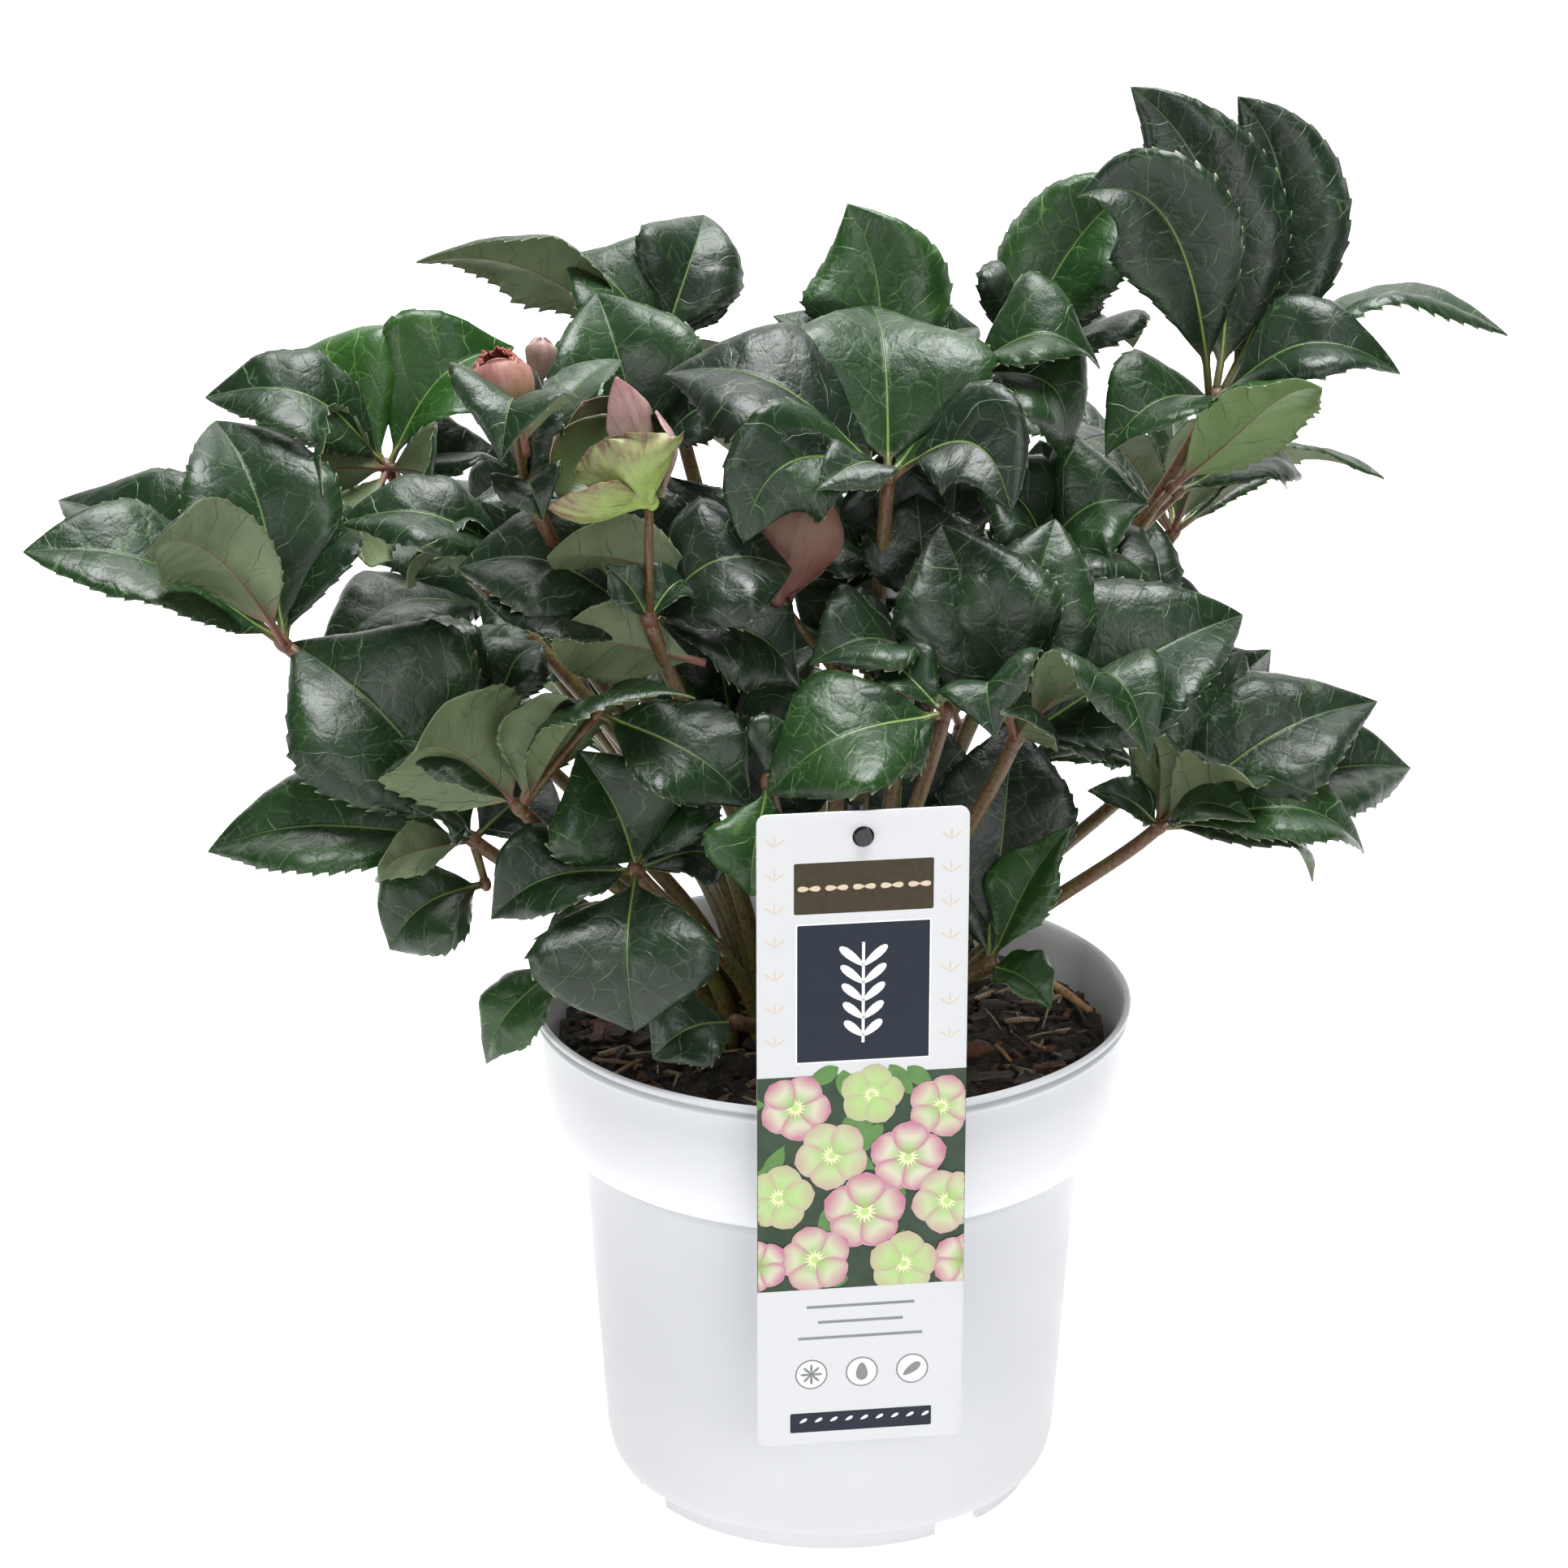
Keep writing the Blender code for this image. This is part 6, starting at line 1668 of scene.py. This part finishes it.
draw = random.Random(9)
strip = [flat_shape("strip_ground", rectangle(-half_card, 83.0, half_card, 153.0), TAG_THICKNESS / 2, INK,
                    INKS["deep"])]
for number in range(22):
    across, down = draw.uniform(-29, 29), draw.uniform(86, 150)
    turn, length = draw.uniform(0, math.tau), draw.uniform(9, 14)
    strip.append(printed_petal(f"printed_leaf_{number}", across, down, turn, length, 5.5, (0.0, 1.0, 0.0),
                               0.04 + 0.002 * number, INKS["leaf"]))
for number, (across, down, reach, pinkness, greenness) in enumerate(PRINTED_FLOWERS):
    lift = 0.10 + 0.03 * number
    first = draw.uniform(0, math.tau)
    for petal_number in range(5):
        turn = first + math.tau * petal_number / 5
        strip.append(printed_petal(f"petal_{number}_{petal_number}", across, down, turn, reach, reach * 0.98,
                                   (pinkness, greenness, 0.0), lift + 0.004 * petal_number, petal_ink))
    if abs(across) > half_card - reach * 0.32:
        continue
    star = []
    for step in range(28):
        point = reach * (0.30 if step % 2 else 0.16)
        star.append((across + point * math.cos(math.tau * step / 28),
                     down + point * math.sin(math.tau * step / 28)))
    strip.append(flat_shape(f"printed_stamens_{number}", star, TAG_THICKNESS / 2 + lift + 0.022, 0.004,
                            INKS["cream"]))
    strip.append(flat_shape(f"printed_heart_{number}", disc(across, down, reach * 0.10, 10),
                            TAG_THICKNESS / 2 + lift + 0.026, 0.003, INKS["lime"]))
flower_print = join_all("flower_print", strip)
onto_tag(flower_print)
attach(flower_print, "root")
for flat in (long_leaflet, short_leaflet, flat_sepal, flat_petal):
    bpy.data.objects.remove(flat)

# %% [markdown]
# The card's foot has fine rules and three round signs. They are plain shapes and say nothing.

# %% The foot: hairlines, three care signs and a thin navy rule
shapes = []
for row, width in enumerate((33.0, 26.0, 38.0)):
    shapes.append((rectangle(-width / 2, 158.5 + 5.2 * row, width / 2, 159.4 + 5.2 * row), "grey", 1))
for number, side in enumerate((-15.0, 0.5, 16.0)):
    shapes.append((disc(side, 181.5, 5.0), "grey", 1))
    shapes.append((disc(side, 181.5, 4.5), "white", 2))
for number in range(8):
    shapes.append((petal(-15.0, 181.5, math.tau * number / 8, 3.4, 1.1), "grey", 3))
shapes.append((petal(0.5, 178.4, math.pi / 2, 6.0, 4.6), "grey", 3))
shapes.append((petal(13.2, 183.6, -0.65, 6.6, 3.4), "grey", 3))
shapes.append((rectangle(-21.5, 194.5, 22.0, 201.0, 0.5), "navy", 1))
for number in range(9):
    shapes.append((petal(-18.6 + 4.7 * number, 197.7, -0.5, 2.6, 1.3), "white", 2))
foot_print = printed(shapes, "foot_print")
print("print:", [len(piece.data.polygons) for piece in (top_print, flower_print, foot_print)])

# %% [markdown]
# The stake is a thin dark stick, hidden behind the card but for the head of its peg. Its solid has the
# right shape, so it stays and only gets its plastic.

# %% Dark plastic for the stake
def make_dark_plastic():
    made, tree, shader = new_finish("dark_moulded_plastic")
    place = own_place(tree)
    color = blend_color(tree, grain(tree, place, 300.0, 3.0), (0.012, 0.013, 0.016), (0.030, 0.031, 0.036))
    painted(tree, shader, color, 0.35)
    bumped(tree, shader, grain(tree, place, 900.0), 0.0001, 0.4)
    return made


stake = frame["nodes"]["tag_stake"]
stake.data.materials.clear()
stake.data.materials.append(make_dark_plastic())

# %% [markdown]
# The picture: a pale floor that runs up into a pale wall, broad soft lights as in a studio, and a long
# lens at the height of the photograph's view.

# %% Floor
def make_floor_finish():
    made, tree, shader = new_finish("white_paper_floor")
    place = own_place(tree)
    color = blend_color(tree, grain(tree, place, 3.0), (0.46, 0.46, 0.46), (0.48, 0.48, 0.48))
    painted(tree, shader, color, 0.9, 0.1)
    set_inputs(tree, shader, {"Emission Color": (1.0, 1.0, 1.0, 1.0), "Emission Strength": 0.75})
    return made


floor = added("floor", bpy.ops.mesh.primitive_plane_add, size=12)
start_edit()
pick(lambda co: co.y > 5)
bpy.ops.transform.translate(value=(0, -3.5, 0))
for lift, back in ((0.05, 0.3), (0.2, 0.28), (0.5, 0.2), (1.0, 0.1), (3.0, 0.0)):
    bpy.ops.mesh.extrude_region_move(TRANSFORM_OT_translate={"value": (0, back, lift)})
end_edit()
floor.data.materials.append(make_floor_finish())
only(floor)
bpy.ops.object.shade_smooth()

# %% [markdown]
# Broad area lights stand round the plant, as in a photo studio, and keep the shadows soft. The key and
# the fill come from the front, the top light models the leaves, and the last one brightens the wall.

# %% Lights
world = bpy.data.worlds.new("studio")
bpy.context.scene.world = world
world.use_nodes = True
background = world.node_tree.nodes["Background"]
set_inputs(world.node_tree, background, {"Color": (0.98, 0.99, 1.0, 1.0), "Strength": 0.11})


def soft_light(name, place, aim, size, power, color=(1.0, 1.0, 1.0)):
    """A square area light at a place, turned to its aim, all in metres."""
    made = added(name, bpy.ops.object.light_add, type="AREA", location=place)
    made.data.size, made.data.energy, made.data.color = size, power, color
    made.rotation_euler = (Vector(aim) - Vector(place)).to_track_quat("-Z", "Y").to_euler()
    return made


soft_light("key", (0.7, -1.95, 1.05), (0, 0, 0.2), 1.0, 14.5)
soft_light("fill", (-1.5, -1.6, 0.40), (0, 0, 0.15), 1.0, 11.5)
soft_light("top", (0.1, 0.05, 1.75), (0, 0, 0.25), 1.1, 57.0, (0.98, 0.99, 1.0))
soft_light("back", (0.0, 1.2, 1.3), (0, 1.9, 0.3), 1.5, 60.0)

# %% [markdown]
# The camera stands well back with a long lens. Its height, pitch and lens were fitted to the pot's rim
# and foot as the photo shows them.

# %% Camera
camera = added("Camera", bpy.ops.object.camera_add, location=view_eye * MM,
               rotation=(math.pi / 2 - VIEW_PITCH, 0, 0))
camera.data.sensor_width, camera.data.lens, camera.data.clip_end = SENSOR_WIDTH, LENS, 30
bpy.context.scene.camera = camera
bpy.context.scene.view_settings.view_transform = "Standard"
bpy.context.scene.view_settings.look = "None"
